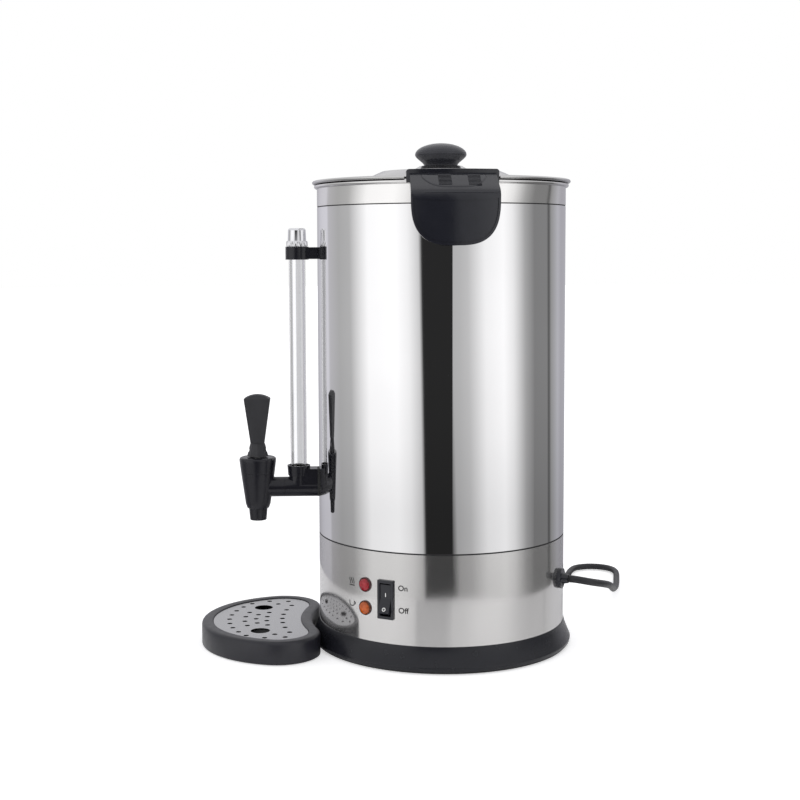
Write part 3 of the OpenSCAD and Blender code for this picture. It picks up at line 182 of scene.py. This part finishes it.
# Materials: drifting tone and polish, painted shade in crevices, on walls or round an axis, grain or spun
# lines
def surface(name, color, rough, metal=0.0, tone=None, polish=None, grain=None, spun=None, painted_crevice_shade=None,
            painted_wall_shade=None, ring=None, **extra):
    m = bpy.data.materials.new(name)
    m.use_nodes = True
    t = m.node_tree
    b = t.nodes["Principled BSDF"]
    b.inputs["Base Color"].default_value = (*color, 1)
    b.inputs["Roughness"].default_value = rough
    b.inputs["Metallic"].default_value = metal
    for key, value in extra.items():
        b.inputs[key.replace("_", " ")].default_value = value
    where = t.nodes.new("ShaderNodeTexCoord").outputs["Object"]

    def noise(vec, scale, detail=3.0):
        n = t.nodes.new("ShaderNodeTexNoise")
        n.inputs["Scale"].default_value = scale
        n.inputs["Detail"].default_value = detail
        t.links.new(vec, n.inputs["Vector"])
        return n.outputs["Fac"]

    def spread(fac, low, high, start=0.3, end=0.7):
        n = t.nodes.new("ShaderNodeMapRange")
        n.inputs["From Min"].default_value = start
        n.inputs["From Max"].default_value = end
        n.inputs["To Min"].default_value = low
        n.inputs["To Max"].default_value = high
        t.links.new(fac, n.inputs["Value"])
        return n.outputs["Result"]

    def vector(op, vec, other):
        n = t.nodes.new("ShaderNodeVectorMath")
        n.operation = op
        n.inputs[1].default_value = other
        t.links.new(vec, n.inputs[0])
        return n.outputs[0]

    def length(vec):
        n = t.nodes.new("ShaderNodeVectorMath")
        n.operation = "LENGTH"
        t.links.new(vec, n.inputs[0])
        return n.outputs["Value"]

    def height(vec):
        n = t.nodes.new("ShaderNodeSeparateXYZ")
        t.links.new(vec, n.inputs[0])
        return n.outputs["Z"]

    if tone:
        scale, share = tone
        n = color_mix(t)
        n.inputs[MIX_A].default_value = (*[c * (1 - share) for c in color], 1)
        n.inputs[MIX_B].default_value = (*[min(1, c * (1 + share)) for c in color], 1)
        t.links.new(spread(noise(where, scale), 0, 1), n.inputs["Factor"])
        tint = n.outputs[MIX_OUT]
        # Painted shade: the colour is darkened in crevices, by ambient occlusion within the given reach
        if painted_crevice_shade:
            darkest, shut, clear = 0.03, 0.35, 0.65
            painted_shade_ao = t.nodes.new("ShaderNodeAmbientOcclusion")
            painted_shade_ao.samples = 12
            painted_shade_ao.inputs["Distance"].default_value = painted_crevice_shade * MM
            tint = product(t, tint, spread(painted_shade_ao.outputs["AO"], darkest, 1, shut, clear))
        # Painted shade: faces that turn sideways or down, such as the walls of the grille's holes, are
        # darkened
        if painted_wall_shade:
            normal = t.nodes.new("ShaderNodeNewGeometry").outputs["Normal"]
            tint = product(t, tint, spread(height(normal), painted_wall_shade, 1))
        # Painted shade: the colour darkens from the inner to the outer radius round an axis
        if ring:
            middle, axis, inner, outer, low = ring
            reach = vector("CROSS_PRODUCT", vector("SUBTRACT", where, middle), axis)
            tint = product(t, tint, spread(length(reach), 1.0, low, inner * MM, outer * MM))
        t.links.new(tint, b.inputs["Base Color"])
    if polish:
        scale, more = polish
        t.links.new(spread(noise(where, scale), rough, rough + more), b.inputs["Roughness"])
    relief = None
    if grain:
        scale, depth = grain
        relief = noise(where, scale, 4.0)
    if spun:
        scale, depth = spun
        both = t.nodes.new("ShaderNodeCombineXYZ")
        t.links.new(length(vector("MULTIPLY", where, (1, 1, 0))), both.inputs[0])
        t.links.new(height(where), both.inputs[1])
        relief = noise(both.outputs[0], scale, 2.0)
    if relief:
        bump = t.nodes.new("ShaderNodeBump")
        bump.inputs["Strength"].default_value = 1.0
        bump.inputs["Distance"].default_value = depth * MM
        t.links.new(relief, bump.inputs["Height"])
        t.links.new(bump.outputs["Normal"], b.inputs["Normal"])
    return m


# Tinted lens of a lamp, with painted shade that darkens its round foot
def lens(name, color, z):
    a = math.radians(LAMP_AZ)
    middle, axis = (0, 0, z * MM), (math.sin(a), -math.cos(a), 0)
    return surface(name, color, 0.10, tone=(500, 0.25), polish=(600, 0.08),
                   ring=(middle, axis, 4.5, 5.3, 0.16), IOR=1.5, Coat_Weight=0.3)


MAT = {
    "mirror_steel": surface("polished_steel", (0.855, 0.85, 0.86), 0.022, 1.0, tone=(18, 0.012),
                            polish=(30, 0.03)),
    "band_steel": surface("band_steel", (0.665, 0.655, 0.65), 0.075, 0.94, tone=(22, 0.02),
                          polish=(40, 0.03), spun=(1500, 0.0010)),
    # Neck and lid steel take painted shade in their crevices
    "neck_steel": surface("neck_steel", (0.82, 0.81, 0.805), 0.09, 1.0, tone=(22, 0.015),
                          polish=(40, 0.04), spun=(1800, 0.0012), painted_crevice_shade=2.2),
    "lid_steel": surface("lid_steel", (0.64, 0.635, 0.63), 0.14, 1.0, tone=(25, 0.02),
                         polish=(50, 0.06), spun=(1700, 0.0025), painted_crevice_shade=2.2),
    "satin_steel": surface("satin_steel", (0.76, 0.755, 0.75), 0.17, 1.0, tone=(25, 0.02),
                           polish=(50, 0.07), spun=(1700, 0.003)),
    # Near-black painted shadow, for the seam ring and for the ring in the groove under the neck
    "seam_shadow": surface("seam_shadow", (0.03, 0.03, 0.032), 0.55, 0.4, tone=(200, 0.2),
                           polish=(300, 0.15)),
    "black_plastic": surface("moulded_black", (0.0135, 0.0142, 0.0195), 0.13, tone=(120, 0.05),
                             polish=(160, 0.05), grain=(2600, 0.004)),
    "knob_plastic": surface("knob_black", (0.036, 0.037, 0.045), 0.24, tone=(130, 0.06),
                            polish=(160, 0.06), grain=(2500, 0.006), Specular_IOR_Level=0.45),
    "tap_plastic": surface("tap_black", (0.0105, 0.0105, 0.0148), 0.19, tone=(150, 0.06),
                           polish=(200, 0.06), grain=(2400, 0.007), Specular_IOR_Level=0.38),
    "lever_plastic": surface("lever_black", (0.026, 0.026, 0.030), 0.5, tone=(150, 0.08),
                             polish=(200, 0.1), grain=(2400, 0.012)),
    "tray_plastic": surface("tray_black", (0.0145, 0.0145, 0.0205), 0.30, tone=(120, 0.08),
                            polish=(180, 0.08), grain=(2200, 0.016)),
    "base_plastic": surface("base_black", (0.0115, 0.012, 0.0160), 0.22, tone=(100, 0.06),
                            polish=(120, 0.06), grain=(2400, 0.007), Specular_IOR_Level=0.36),
    # Grille steel takes painted shade on the walls of its holes
    "grille_steel": surface("grille_steel", (0.56, 0.56, 0.57), 0.36, 1.0, tone=(1500, 0.18),
                            polish=(900, 0.16), grain=(2300, 0.02), painted_wall_shade=0.03),
    "aluminium": surface("cast_aluminium", (0.68, 0.69, 0.71), 0.42, 1.0, tone=(300, 0.06),
                         polish=(300, 0.1), grain=(1500, 0.02)),
    "element_steel": surface("element_steel", (0.22, 0.20, 0.19), 0.45, 1.0, tone=(180, 0.3),
                             polish=(250, 0.2), grain=(1800, 0.015)),
    "brass": surface("brass", (0.72, 0.53, 0.23), 0.26, 1.0, tone=(250, 0.08), polish=(300, 0.12)),
    "ceramic": surface("ceramic", (0.78, 0.75, 0.68), 0.42, tone=(400, 0.05), polish=(500, 0.15),
                       grain=(1800, 0.02)),
    "wire": surface("wire_sleeve", (0.38, 0.03, 0.02), 0.42, tone=(300, 0.15), polish=(400, 0.15),
                    grain=(2500, 0.02)),
    "rubber": surface("black_rubber", (0.018, 0.018, 0.018), 0.6, tone=(300, 0.2), polish=(400, 0.2),
                      grain=(1800, 0.03)),
    "silicone": surface("silicone", (0.70, 0.68, 0.62), 0.5, tone=(300, 0.05), polish=(300, 0.15),
                        grain=(1800, 0.02)),
    "clear_tube": surface("clear_tube", (0.955, 0.955, 0.97), 0.0, tone=(60, 0.01), polish=(20, 0.03),
                          IOR=1.47, Transmission_Weight=1.0),
    "chrome": surface("chrome", (0.84, 0.84, 0.86), 0.035, 1.0, tone=(120, 0.01), polish=(180, 0.04)),
    "red_lens": lens("red_lens", (0.30, 0.003, 0.012), RED_Z),
    "amber_lens": lens("amber_lens", (0.46, 0.082, 0.005), AMBER_Z),
    "cord_jacket": surface("cord_jacket", (0.013, 0.013, 0.016), 0.38, tone=(200, 0.15),
                           polish=(300, 0.14), grain=(2200, 0.02)),
    "print": surface("black_print", (0.005, 0.005, 0.005), 0.6, tone=(900, 0.2), polish=(900, 0.15)),
    "mark": surface("white_print", (0.82, 0.82, 0.80), 0.5, tone=(900, 0.05), polish=(900, 0.15)),
}
# Nodes with a finish of their own; every other node takes the finish of its material slot
OWN_FINISH = {
    "base_band": "band_steel", "inner_tank": "neck_steel", "lid": "lid_steel",
    "seam_ring": "seam_shadow", "drip_grille": "grille_steel", "lid_knob": "knob_plastic",
    "base_ring": "base_plastic", "tap_body": "tap_plastic", "tap_bonnet": "tap_plastic",
    "tap_lever": "lever_plastic", "gauge_block": "tap_plastic", "gauge_clip": "tap_plastic",
}
slot_of = {s["node"]: s["material_slot"] for s in frame["record"]["subparts"]}
for name, ob in nodes.items():
    ob.data.materials.clear()
    ob.data.materials.append(MAT[OWN_FINISH.get(name, slot_of[name])])
cord.data.materials.append(MAT["cord_jacket"])


# Moulded and pressed edges of the solids are rounded by these widths
ROUND = {
    "handle_right": 0.55, "handle_left": 0.55, "tap_body": 0.45, "tap_bonnet": 0.3, "tap_lever": 0.7,
    "gauge_block": 0.5, "gauge_clip": 0.45, "switch_housing": 0.45, "switch_rocker": 0.35,
    "cord_gland": 0.35, "plug_body": 1.2, "plug_pins": 0.3, "cord_tie": 0.25, "drip_grille": 0.18,
    "base_ring": 0.4, "foot_ring": 0.3, "terminal_block": 0.4, "thermostat": 0.3,
}
EDGE_ANGLE = math.radians(34)


def weld(ob):
    ob.modifiers.new("weld", "WELD").merge_threshold = 1e-6


def even_shade(ob):
    ob.modifiers.new("shade", "WEIGHTED_NORMAL").keep_sharp = True


for name, width in ROUND.items():
    weld(nodes[name])
    edge = nodes[name].modifiers.new("edge", "BEVEL")
    edge.width = width * MM
    edge.segments = 3
    edge.limit_method = "ANGLE"
    edge.angle_limit = EDGE_ANGLE
    even_shade(nodes[name])
weld(nodes["inner_tank"])
even_shade(nodes["inner_tank"])


# Mesh helpers; the places that they give are in metres
def piece(name, bm, finish, body="urn", sharp=40, replaces=()):
    bmesh.ops.recalc_face_normals(bm, faces=bm.faces)
    me = bpy.data.meshes.new(name)
    bm.to_mesh(me)
    bm.free()
    me.shade_smooth()
    me.set_sharp_from_angle(angle=math.radians(sharp))
    me.materials.append(MAT[finish])
    ob = bpy.data.objects.new(name, me)
    scene.collection.objects.link(ob)
    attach(ob, body)
    if replaces:
        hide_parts(*replaces)
    return ob


def loft(bm, rings, ends=(True, True)):
    rows = [[bm.verts.new(p) for p in ring] for ring in rings]
    for a, b in zip(rows, rows[1:]):
        for i in range(len(a)):
            j = (i + 1) % len(a)
            bm.faces.new((a[i], a[j], b[j], b[i]))
    for end, row in zip(ends, (rows[0], rows[-1])):
        if end:
            bm.faces.new(row)


# Loft that runs back into its first ring
def closed_loft(bm, rings):
    loft(bm, rings + rings[:1], (False, False))
    bmesh.ops.remove_doubles(bm, verts=bm.verts, dist=1e-7)


def circle(r, count, lead=0.0):
    return [(r * math.cos(2 * math.pi * (i + lead) / count), r * math.sin(2 * math.pi * (i + lead) / count))
            for i in range(count)]


# Place at an angle round the urn's axis
def polar(a, r, z):
    return Vector((r * math.sin(a), -r * math.cos(a), z)) * MM


# Place across, out from the axis and up, turned to an azimuth
def facing(az):
    c, s = math.cos(math.radians(az)), math.sin(math.radians(az))
    return lambda x, u, z: Vector((x * c + u * s, x * s - u * c, z)) * MM


# Place along, off and up a round wall
def on_wall(az, r):
    return lambda x, h, z: polar(math.radians(az) + x / r, r + h, z)


# Raised strip along points on a surface, with a rounded back
def strip(bm, pts, width, height, put, sink=0.02):
    rings = []
    for i, (x, y) in enumerate(pts):
        (x0, y0), (x1, y1) = pts[max(i - 1, 0)], pts[min(i + 1, len(pts) - 1)]
        n = math.hypot(x1 - x0, y1 - y0)
        ax, ay = -(y1 - y0) / n * width / 2, (x1 - x0) / n * width / 2
        rings.append([put(x + ax * k, h, y + ay * k) for k, h in (
            (-1, -sink), (-1, height * 0.4), (-0.6, height), (0.6, height), (1, height * 0.4), (1, -sink))])
    loft(bm, rings)


# Tray with a rolled edge, a ledge for the grille and a basin
TRAY_R, TRAY_U, HORN_R, HOLLOW_R = 80.0, 126.7, 34.0, 111.7


def tray_outline(inset):
    d1, d2 = HOLLOW_R + HORN_R, TRAY_R - HORN_R
    horn_u = (d1 ** 2 - d2 ** 2 + TRAY_U ** 2) / (2 * TRAY_U)
    horn_x = math.sqrt(d1 ** 2 - horn_u ** 2)
    lead = math.atan2(TRAY_U - horn_u, horn_x)
    turn = math.atan2(horn_u, -horn_x)
    arcs = ((0, -TRAY_U, TRAY_R - inset, -math.pi - lead, lead, 72),
            (horn_x, -horn_u, HORN_R - inset, lead, turn, 28),
            (0, 0, HOLLOW_R + inset, turn - math.pi, -turn, 24),
            (-horn_x, -horn_u, HORN_R - inset, math.pi - turn, math.pi - lead, 28))
    return [(cx + r * math.cos(a0 + (a1 - a0) * i / n), cy + r * math.sin(a0 + (a1 - a0) * i / n))
            for cx, cy, r, a0, a1, n in arcs for i in range(n)]


def make_tray():
    # Pairs of inset from the outline and height
    section = ((13.4, 3.0), (12.9, 3.1), (12.6, 3.6), (12.6, 16.2), (12.3, 16.5), (9.6, 16.5), (9.6, 18.3),
               (9.35, 18.75), (8.8, 19.0), (3.4, 19.0), (2.0, 18.8), (0.95, 18.2), (0.3, 17.3), (0.0, 16.0),
               (0.0, 0.7), (0.2, 0.2), (0.7, 0.0), (2.1, 0.0), (2.5, 0.4), (2.5, 14.0), (10.1, 14.0),
               (10.1, 1.0), (10.5, 1.0))
    bm = bmesh.new()
    loft(bm, [[Vector((x, y, z)) * MM for x, y in tray_outline(inset)] for inset, z in section])
    piece("tray_dish", bm, "tray_plastic", "tray", 50, ("drip_tray",))


make_tray()


# Lamp with a body through the band, a round foot and a lens cut in facets
def make_lamp(node, z, finish):
    sides, facets = 48, 12
    put = facing(LAMP_AZ)
    bm = bmesh.new()
    # Pairs of radius and way out from the barrel, with the turn of each row of facets in the lens
    body = ((4.1, -15), (4.4, -14.7), (4.4, -0.35), (5.8, -0.35), (6.0, -0.15), (6.0, 0.8), (5.8, 1.15),
            (5.4, 1.3), (5.15, 1.1))
    gem = ((5.15, 1.1, 0.0), (4.5, 2.15, 0.5), (3.0, 3.05, 0.0), (1.3, 3.4, 0.5))
    loft(bm, [[put(x, BARREL_R + w, z + y) for x, y in circle(r, sides)] for r, w in body], (True, False))
    rows = [[bm.verts.new(put(x, BARREL_R + w, z + y)) for x, y in circle(r, facets, lead)]
            for r, w, lead in gem]
    for k, (a, b) in enumerate(zip(rows, rows[1:])):
        for i in range(facets):
            j = (i + 1) % facets
            if k % 2 == 0:
                bm.faces.new((a[i], a[j], b[i]))
                bm.faces.new((b[i], a[j], b[j]))
            else:
                bm.faces.new((a[i], b[j], b[i]))
                bm.faces.new((a[i], a[j], b[j]))
    bm.faces.new(rows[-1])
    piece(node + "_lens", bm, finish, "urn", 18, (node,))


make_lamp("heating_lamp", RED_Z, "red_lens")
make_lamp("warm_lamp", AMBER_Z, "amber_lens")


# Chrome cap of the sight tube, with a milled collar
def make_cap():
    teeth, tooth_steps, gauge_u, foot, step = 40, 4, 122.2, 338.55, 343.25
    smooth, cut = 0.0, 0.32
    section = ((7.1, foot, smooth), (8.7, foot, smooth), (9.0, foot + 0.4, cut), (9.0, step - 0.7, cut),
               (8.6, step, smooth), (7.8, step + 0.1, smooth), (7.75, step + 0.4, smooth),
               (7.42, step + 8.8, smooth), (7.4, step + 9.1, smooth), (7.1, step + 9.9, smooth),
               (6.5, step + 10.5, smooth), (5.6, step + 10.8, smooth), (2.5, step + 10.8, smooth))
    count = teeth * tooth_steps
    bm = bmesh.new()
    rings = []
    for r, z, depth in section:
        ring = []
        for i in range(count):
            a = 2 * math.pi * i / count
            rr = r - depth * (1 if i % tooth_steps in (2, 3) else 0)
            ring.append(Vector((rr * math.cos(a), rr * math.sin(a) - gauge_u, z)) * MM)
        rings.append(ring)
    loft(bm, rings)
    piece("gauge_cap_milled", bm, "chrome", "urn", 30, ("gauge_cap",))


make_cap()


# Spring round the tap's stem
def make_spring():
    low, high = (Vector(v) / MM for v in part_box("tap_spring"))
    wire, sides, turns, steps, lift = 0.6, 10, 6, 24, 3.6
    r = (high.x - low.x) / 2 - wire
    y, z0, z1 = (low.y + high.y) / 2, low.z + wire, high.z - wire
    bm = bmesh.new()
    rings = []
    for i in range(turns * steps + 1):
        a = 2 * math.pi * i / steps
        z = z0 + (z1 - z0) * i / (turns * steps)
        rings.append([Vector(((r + u) * math.cos(a), y + (r + u) * math.sin(a), z + w)) * MM
                      for u, w in circle(wire, sides)])
    loft(bm, rings)
    ob = piece("tap_spring_coil", bm, "satin_steel", "urn", 40, ("tap_spring",))
    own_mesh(ob)


make_spring()


# Near-black ring put in the groove under the neck as a painted shadow line
def make_groove_painted_shadow():
    sides = 240
    section = ((104.5, 371.12), (104.62, 371.3), (104.62, 371.8), (104.5, 371.98), (104.3, 371.98),
               (104.3, 371.12))
    bm = bmesh.new()
    closed_loft(bm, [[Vector((x, y, z)) * MM for x, y in circle(r, sides)] for r, z in section])
    piece("groove_painted_shadow", bm, "seam_shadow", "urn", 40)


make_groove_painted_shadow()


# Rolled rim of the tank, finer than the facets of its solid
def make_rim():
    r, z, thick, sides, count = 105.7, 388.5, 1.71, 32, 360
    bm = bmesh.new()
    closed_loft(bm, [[polar(2 * math.pi * i / count, r + u, z + w) for u, w in circle(thick, sides)]
                     for i in range(count)])
    piece("rim_roll", bm, "neck_steel", "urn", 60)


make_rim()


# Words beside the switch and signs beside the lamps, printed on the band
PRINT_H, PRINT_SINK = 0.05, 0.03


def make_word(text, az, z, height):
    font = bpy.data.curves.new("word", "FONT")
    font.body = text
    font.align_x = "CENTER"
    font.extrude = 0.02
    font.offset = 0.018
    font.resolution_u = 5
    ob = bpy.data.objects.new("word", font)
    scene.collection.objects.link(ob)
    bpy.context.view_layer.update()
    me = bpy.data.meshes.new_from_object(ob.evaluated_get(bpy.context.evaluated_depsgraph_get()))
    bpy.data.objects.remove(ob)
    bpy.data.curves.remove(font)
    bm = bmesh.new()
    bm.from_mesh(me)
    bpy.data.meshes.remove(me)
    bmesh.ops.remove_doubles(bm, verts=bm.verts, dist=1e-6)
    low, high = min(v.co.y for v in bm.verts), max(v.co.y for v in bm.verts)
    put = on_wall(az, BARREL_R)
    k = height / (high - low)
    for v in bm.verts:
        h = PRINT_H if v.co.z > 0 else -PRINT_SINK
        v.co = put(v.co.x * k, h, z + (v.co.y - (low + high) / 2) * k)
    piece("word_" + text.lower(), bm, "print", "urn", 30)


make_word("On", 68.25, 66.9, 4.6)
make_word("Off", 68.45, 48.8, 4.7)


def make_signs():
    line, thin_line = 0.8, 0.7
    put = on_wall(SIGN_AZ, BARREL_R)
    # Three waves over a plate
    gap, sway, wave_z, wave_h, plate_x, plate_z = 2.1, 0.55, 65.0, 4.8, 3.2, 63.7
    bm = bmesh.new()
    for i in (-1, 0, 1):
        strip(bm, [(i * gap + sway * math.sin(k * math.pi / 6), wave_z + wave_h * k / 12) for k in range(13)],
              line, PRINT_H, put)
    strip(bm, [(-plate_x, plate_z), (0, plate_z), (plate_x, plate_z)], line, PRINT_H, put)
    piece("sign_heat", bm, "print", "urn", 30)
    # A cup with an ear
    cup = [(-2.7, 50.9), (-2.6, 48.7), (-2.0, 47.2), (-0.9, 46.6), (0.9, 46.6), (2.0, 47.2), (2.6, 48.7),
           (2.7, 50.9)]
    ear_x, ear_z, ear_w, ear_h = 2.7, 49.2, 1.5, 1.1
    bm = bmesh.new()
    strip(bm, cup, line, PRINT_H, put)
    strip(bm, [(ear_x + ear_w * math.sin(k * math.pi / 8), ear_z + ear_h * math.cos(k * math.pi / 8))
               for k in range(9)], thin_line, PRINT_H, put)
    piece("sign_cup", bm, "print", "urn", 30)


make_signs()


# Line and ring marks on the rocker's two faces
def make_rocker_marks():
    half_swing = math.radians(11)
    pivot_u, pivot_z, face = 101.5, 56.5, 4.5
    out = facing(SWITCH_AZ)

    def put(x, h, z):
        lean = 1 if z >= 0 else -1
        y = -face - abs(z) * math.tan(half_swing) - h * math.cos(half_swing)
        z = z - lean * h * math.sin(half_swing)
        c, s = math.cos(-half_swing), math.sin(-half_swing)
        return out(x, pivot_u - (y * c - z * s), pivot_z + y * s + z * c)

    thick, sink = 0.05, 0.02
    bm = bmesh.new()
    strip(bm, [(0, 1.5), (0, 2.5), (0, 3.5), (0, 4.5)], 0.7, thick, put)
    ring_z, ring_r, hole = -8.6, 1.55, 0.6
    closed_loft(bm, [[put(x * k, h, ring_z + y * k) for x, y in circle(ring_r, 24)]
                     for k, h in ((1.0, -sink), (1.0, thick), (hole, thick), (hole, -sink))])
    piece("rocker_marks", bm, "mark", "rocker", 30)


make_rocker_marks()


# Bead along the brow of a handle, thinner at its ends
def add_bead(bm, az):
    brow_r, brow_z, bead, reach, steps, sides = 135.95, 378.3, 0.5, 33.2, 24, 10
    rings = []
    for k in range(-steps, steps + 1):
        a = math.radians(az) + reach * k / steps / brow_r
        thick = bead * (1 - abs(k / steps) ** 8 * 0.7)
        rings.append([polar(a, brow_r + u * thick, brow_z + v * thick) for u, v in circle(1.0, sides)])
    loft(bm, rings)


# Raised pad with two ribbed finger grips on a handle's sloping deck, over the bead on its brow
def make_deck_pad(name, az):
    run, drop, start_r, start_z = 21.8, 13.5, 111.7, 394.9
    slope = math.hypot(run, drop)

    # Place along the deck, off it and down it, from 0 at its top to 1 at its foot
    def put(x, h, t):
        r = start_r + run * t
        return polar(math.radians(az) + x / r, r + h * drop / slope, start_z - drop * t + h * run / slope)

    half, top_t, mid_t, rise, root = 25.0, 0.17, 0.94, 0.5, -0.3
    edge_rise = (0.0, 0.6, 0.9, 1.0)
    cols = [half * k for k in (-1, -0.99, -0.975, -0.95)] + [half * k / 20 for k in range(-18, 19)]
    cols += [half * k for k in (0.95, 0.975, 0.99, 1)]
    rows = [0, 0.03, 0.07, 0.13, 0.3, 0.5, 0.7, 0.87, 0.93, 0.97, 1]
    last_col, last = len(cols) - 1, len(rows) - 1
    bm = bmesh.new()
    sheets = []
    for under in (False, True):
        grid = []
        for i, x in enumerate(cols):
            foot_t = mid_t - 0.62 * (x / half) ** 4
            line = []
            for j, v in enumerate(rows):
                step = min(i, last_col - i, j, last - j)
                h = root if under else rise * edge_rise[min(step, 3)]
                line.append(bm.verts.new(put(x, h, top_t + (foot_t - top_t) * v)))
            grid.append(line)
        for a, b in zip(grid, grid[1:]):
            for j in range(last):
                bm.faces.new((a[j], a[j + 1], b[j + 1], b[j]))
        sheets.append(grid)
    upper, lower = sheets
    rim = [(i, 0) for i in range(len(cols))] + [(last_col, j) for j in range(1, last + 1)]
    rim += [(i, last) for i in range(last_col - 1, -1, -1)] + [(0, j) for j in range(last - 1, 0, -1)]
    for (i, j), (k, n) in zip(rim, rim[1:] + rim[:1]):
        bm.faces.new((upper[i][j], upper[k][n], lower[k][n], lower[i][j]))
    rib_t, rib_h, rib_sink = 0.042, 0.85, 0.05
    for centre in (-7.5, 15.2):
        for t in (0.23, 0.31, 0.39, 0.47, 0.55, 0.63, 0.71, 0.79):
            strip(bm, [(centre + x, t) for x in (-5.0, -2.5, 0.0, 2.5, 5.0)], rib_t, rib_h, put, rib_sink)
    add_bead(bm, az)
    piece(name, bm, "black_plastic", "urn", 35)


make_deck_pad("deck_pad_right", 90)
make_deck_pad("deck_pad_left", 270)


# Studio: a soft surround that the steel mirrors, cards behind the sight tube, and white for the camera
LIGHT = 1.2


def make_world():
    world = bpy.data.worlds.new("studio")
    scene.world = world
    world.use_nodes = True
    t = world.node_tree
    t.nodes.clear()
    out = t.nodes.new("ShaderNodeOutputWorld")
    co = t.nodes.new("ShaderNodeTexCoord")
    sep = t.nodes.new("ShaderNodeSeparateXYZ")
    t.links.new(co.outputs["Generated"], sep.inputs[0])

    def math_node(op, a, b):
        n = t.nodes.new("ShaderNodeMath")
        n.operation = op
        for i, v in enumerate((a, b)):
            if isinstance(v, (int, float)):
                n.inputs[i].default_value = v
            else:
                t.links.new(v, n.inputs[i])
        return n.outputs[0]

    def ramp(fac, stops):
        n = t.nodes.new("ShaderNodeValToRGB")
        e = n.color_ramp.elements
        while len(e) < len(stops):
            e.new(0.5)
        for i, (pos, col) in enumerate(stops):
            e[i].position = pos
            e[i].color = (*col, 1) if isinstance(col, tuple) else (col, col, col, 1)
        t.links.new(fac, n.inputs["Fac"])
        return n.outputs["Color"]

    def azimuth_ramp(fac, stops):
        return ramp(fac, [((a + 180) / 360, v) for a, v in stops])

    def background(color=None):
        n = t.nodes.new("ShaderNodeBackground")
        if color:
            n.inputs["Strength"].default_value = LIGHT
            t.links.new(color, n.inputs["Color"])
        else:
            n.inputs["Color"].default_value = (1, 1, 1, 1)
        return n

    lean, lead = 0.05, 0.003
    az = math_node("ARCTAN2", sep.outputs["X"], math_node("MULTIPLY", sep.outputs["Y"], -1.0))
    slant = math_node("ADD", math_node("MULTIPLY", sep.outputs["Z"], lean), lead)
    level = math_node("ADD", math_node("DIVIDE", az, 2 * math.pi), 0.5)
    turn = math_node("ADD", level, slant)
    lav = (0.36, 0.355, 0.385)
    around = azimuth_ramp(turn, [
        (-180, 0.20), (-161, 0.205), (-159, 0.10), (-157, 0.10), (-154, 0.27), (-139, (0.42, 0.42, 0.45)),
        (-130, lav), (-100, lav), (-74, (0.42, 0.415, 0.445)), (-66, (0.50, 0.495, 0.535)),
        (-55, (0.565, 0.56, 0.60)), (-43, (0.59, 0.585, 0.625)), (-40, (0.445, 0.44, 0.46)), (-22, 0.38),
        (-6, 0.42), (16, 0.95), (44, 1.0), (56, 0.86), (66, 0.58), (69, 0.02), (96, 0.02), (98, 0.41),
        (110, 0.50), (126, 0.86), (144, 0.96), (154, 0.80), (168, 0.36), (180, 0.20)])
    height = math_node("ADD", math_node("MULTIPLY", sep.outputs["Z"], 0.5), 0.5)
    up = ramp(height, [(0.0, 0.45), (0.36, 0.62), (0.39, 0.785), (0.405, 0.79), (0.43, 0.92), (0.46, 1.0),
                       (1.0, 1.0)])
    wall_top, sky = 0.12, 0.42
    top = t.nodes.new("ShaderNodeMapRange")
    top.inputs["From Min"].default_value = wall_top
    top.inputs["From Max"].default_value = sky
    t.links.new(sep.outputs["Z"], top.inputs["Value"])
    over = color_mix(t)
    t.links.new(top.outputs["Result"], over.inputs["Factor"])
    t.links.new(product(t, around, up), over.inputs[MIX_A])
    over.inputs[MIX_B].default_value = (0.70, 0.70, 0.715, 1)
    box = ramp(sep.outputs["Z"], [(0.0, 1.0), (0.7, 0.95), (0.92, 1.05), (1.0, 1.05)])
    cards = azimuth_ramp(level, [
        (-180, 0.3), (-118, 0.3), (-108, 0.58), (-87.6, 0.5), (-85.6, 0.95), (-76, 0.95), (-68, 0.4),
        (-35, 0.32), (-20, 0.55), (180, 0.55)])
    path = t.nodes.new("ShaderNodeLightPath")
    last = background(product(t, over.outputs[MIX_OUT], box))
    for ray, shown in (("Is Transmission Ray", background(cards)), ("Is Camera Ray", background())):
        pick = t.nodes.new("ShaderNodeMixShader")
        t.links.new(path.outputs[ray], pick.inputs["Fac"])
        t.links.new(last.outputs[0], pick.inputs[1])
        t.links.new(shown.outputs[0], pick.inputs[2])
        last = pick
    t.links.new(last.outputs[0], out.inputs["Surface"])


make_world()


# The wide floor is what the camera sees; the small table top is what the steel mirrors. Sizes are in metres
def make_floor():
    white = surface("pale_floor", (0.92, 0.92, 0.92), 0.9, Specular_IOR_Level=0.0,
                    Emission_Color=(1, 1, 1, 1), Emission_Strength=0.5)
    table = surface("table_top", (0.95, 0.95, 0.94), 0.08, 0.55, polish=(8, 0.04),
                    Emission_Color=(1, 1, 1, 1), Emission_Strength=0.05)
    for name, r, depth, z, mat, mirrored in (("floor", 12.0, 1, -0.0006, white, False),
                                             ("table", 0.343, 0.89, -0.0003, table, True)):
        bm = bmesh.new()
        bmesh.ops.create_circle(bm, cap_ends=True, segments=96, radius=r)
        me = bpy.data.meshes.new(name)
        bm.to_mesh(me)
        bm.free()
        ob = bpy.data.objects.new(name, me)
        ob.location = (0, 0, z)
        ob.scale = (1, depth, 1)
        ob.visible_glossy = mirrored
        ob.visible_transmission = False
        ob.visible_camera = not mirrored
        ob.visible_shadow = not mirrored
        ob.visible_diffuse = not mirrored
        me.materials.append(mat)
        scene.collection.objects.link(ob)


make_floor()
scene.view_settings.view_transform = "Standard"
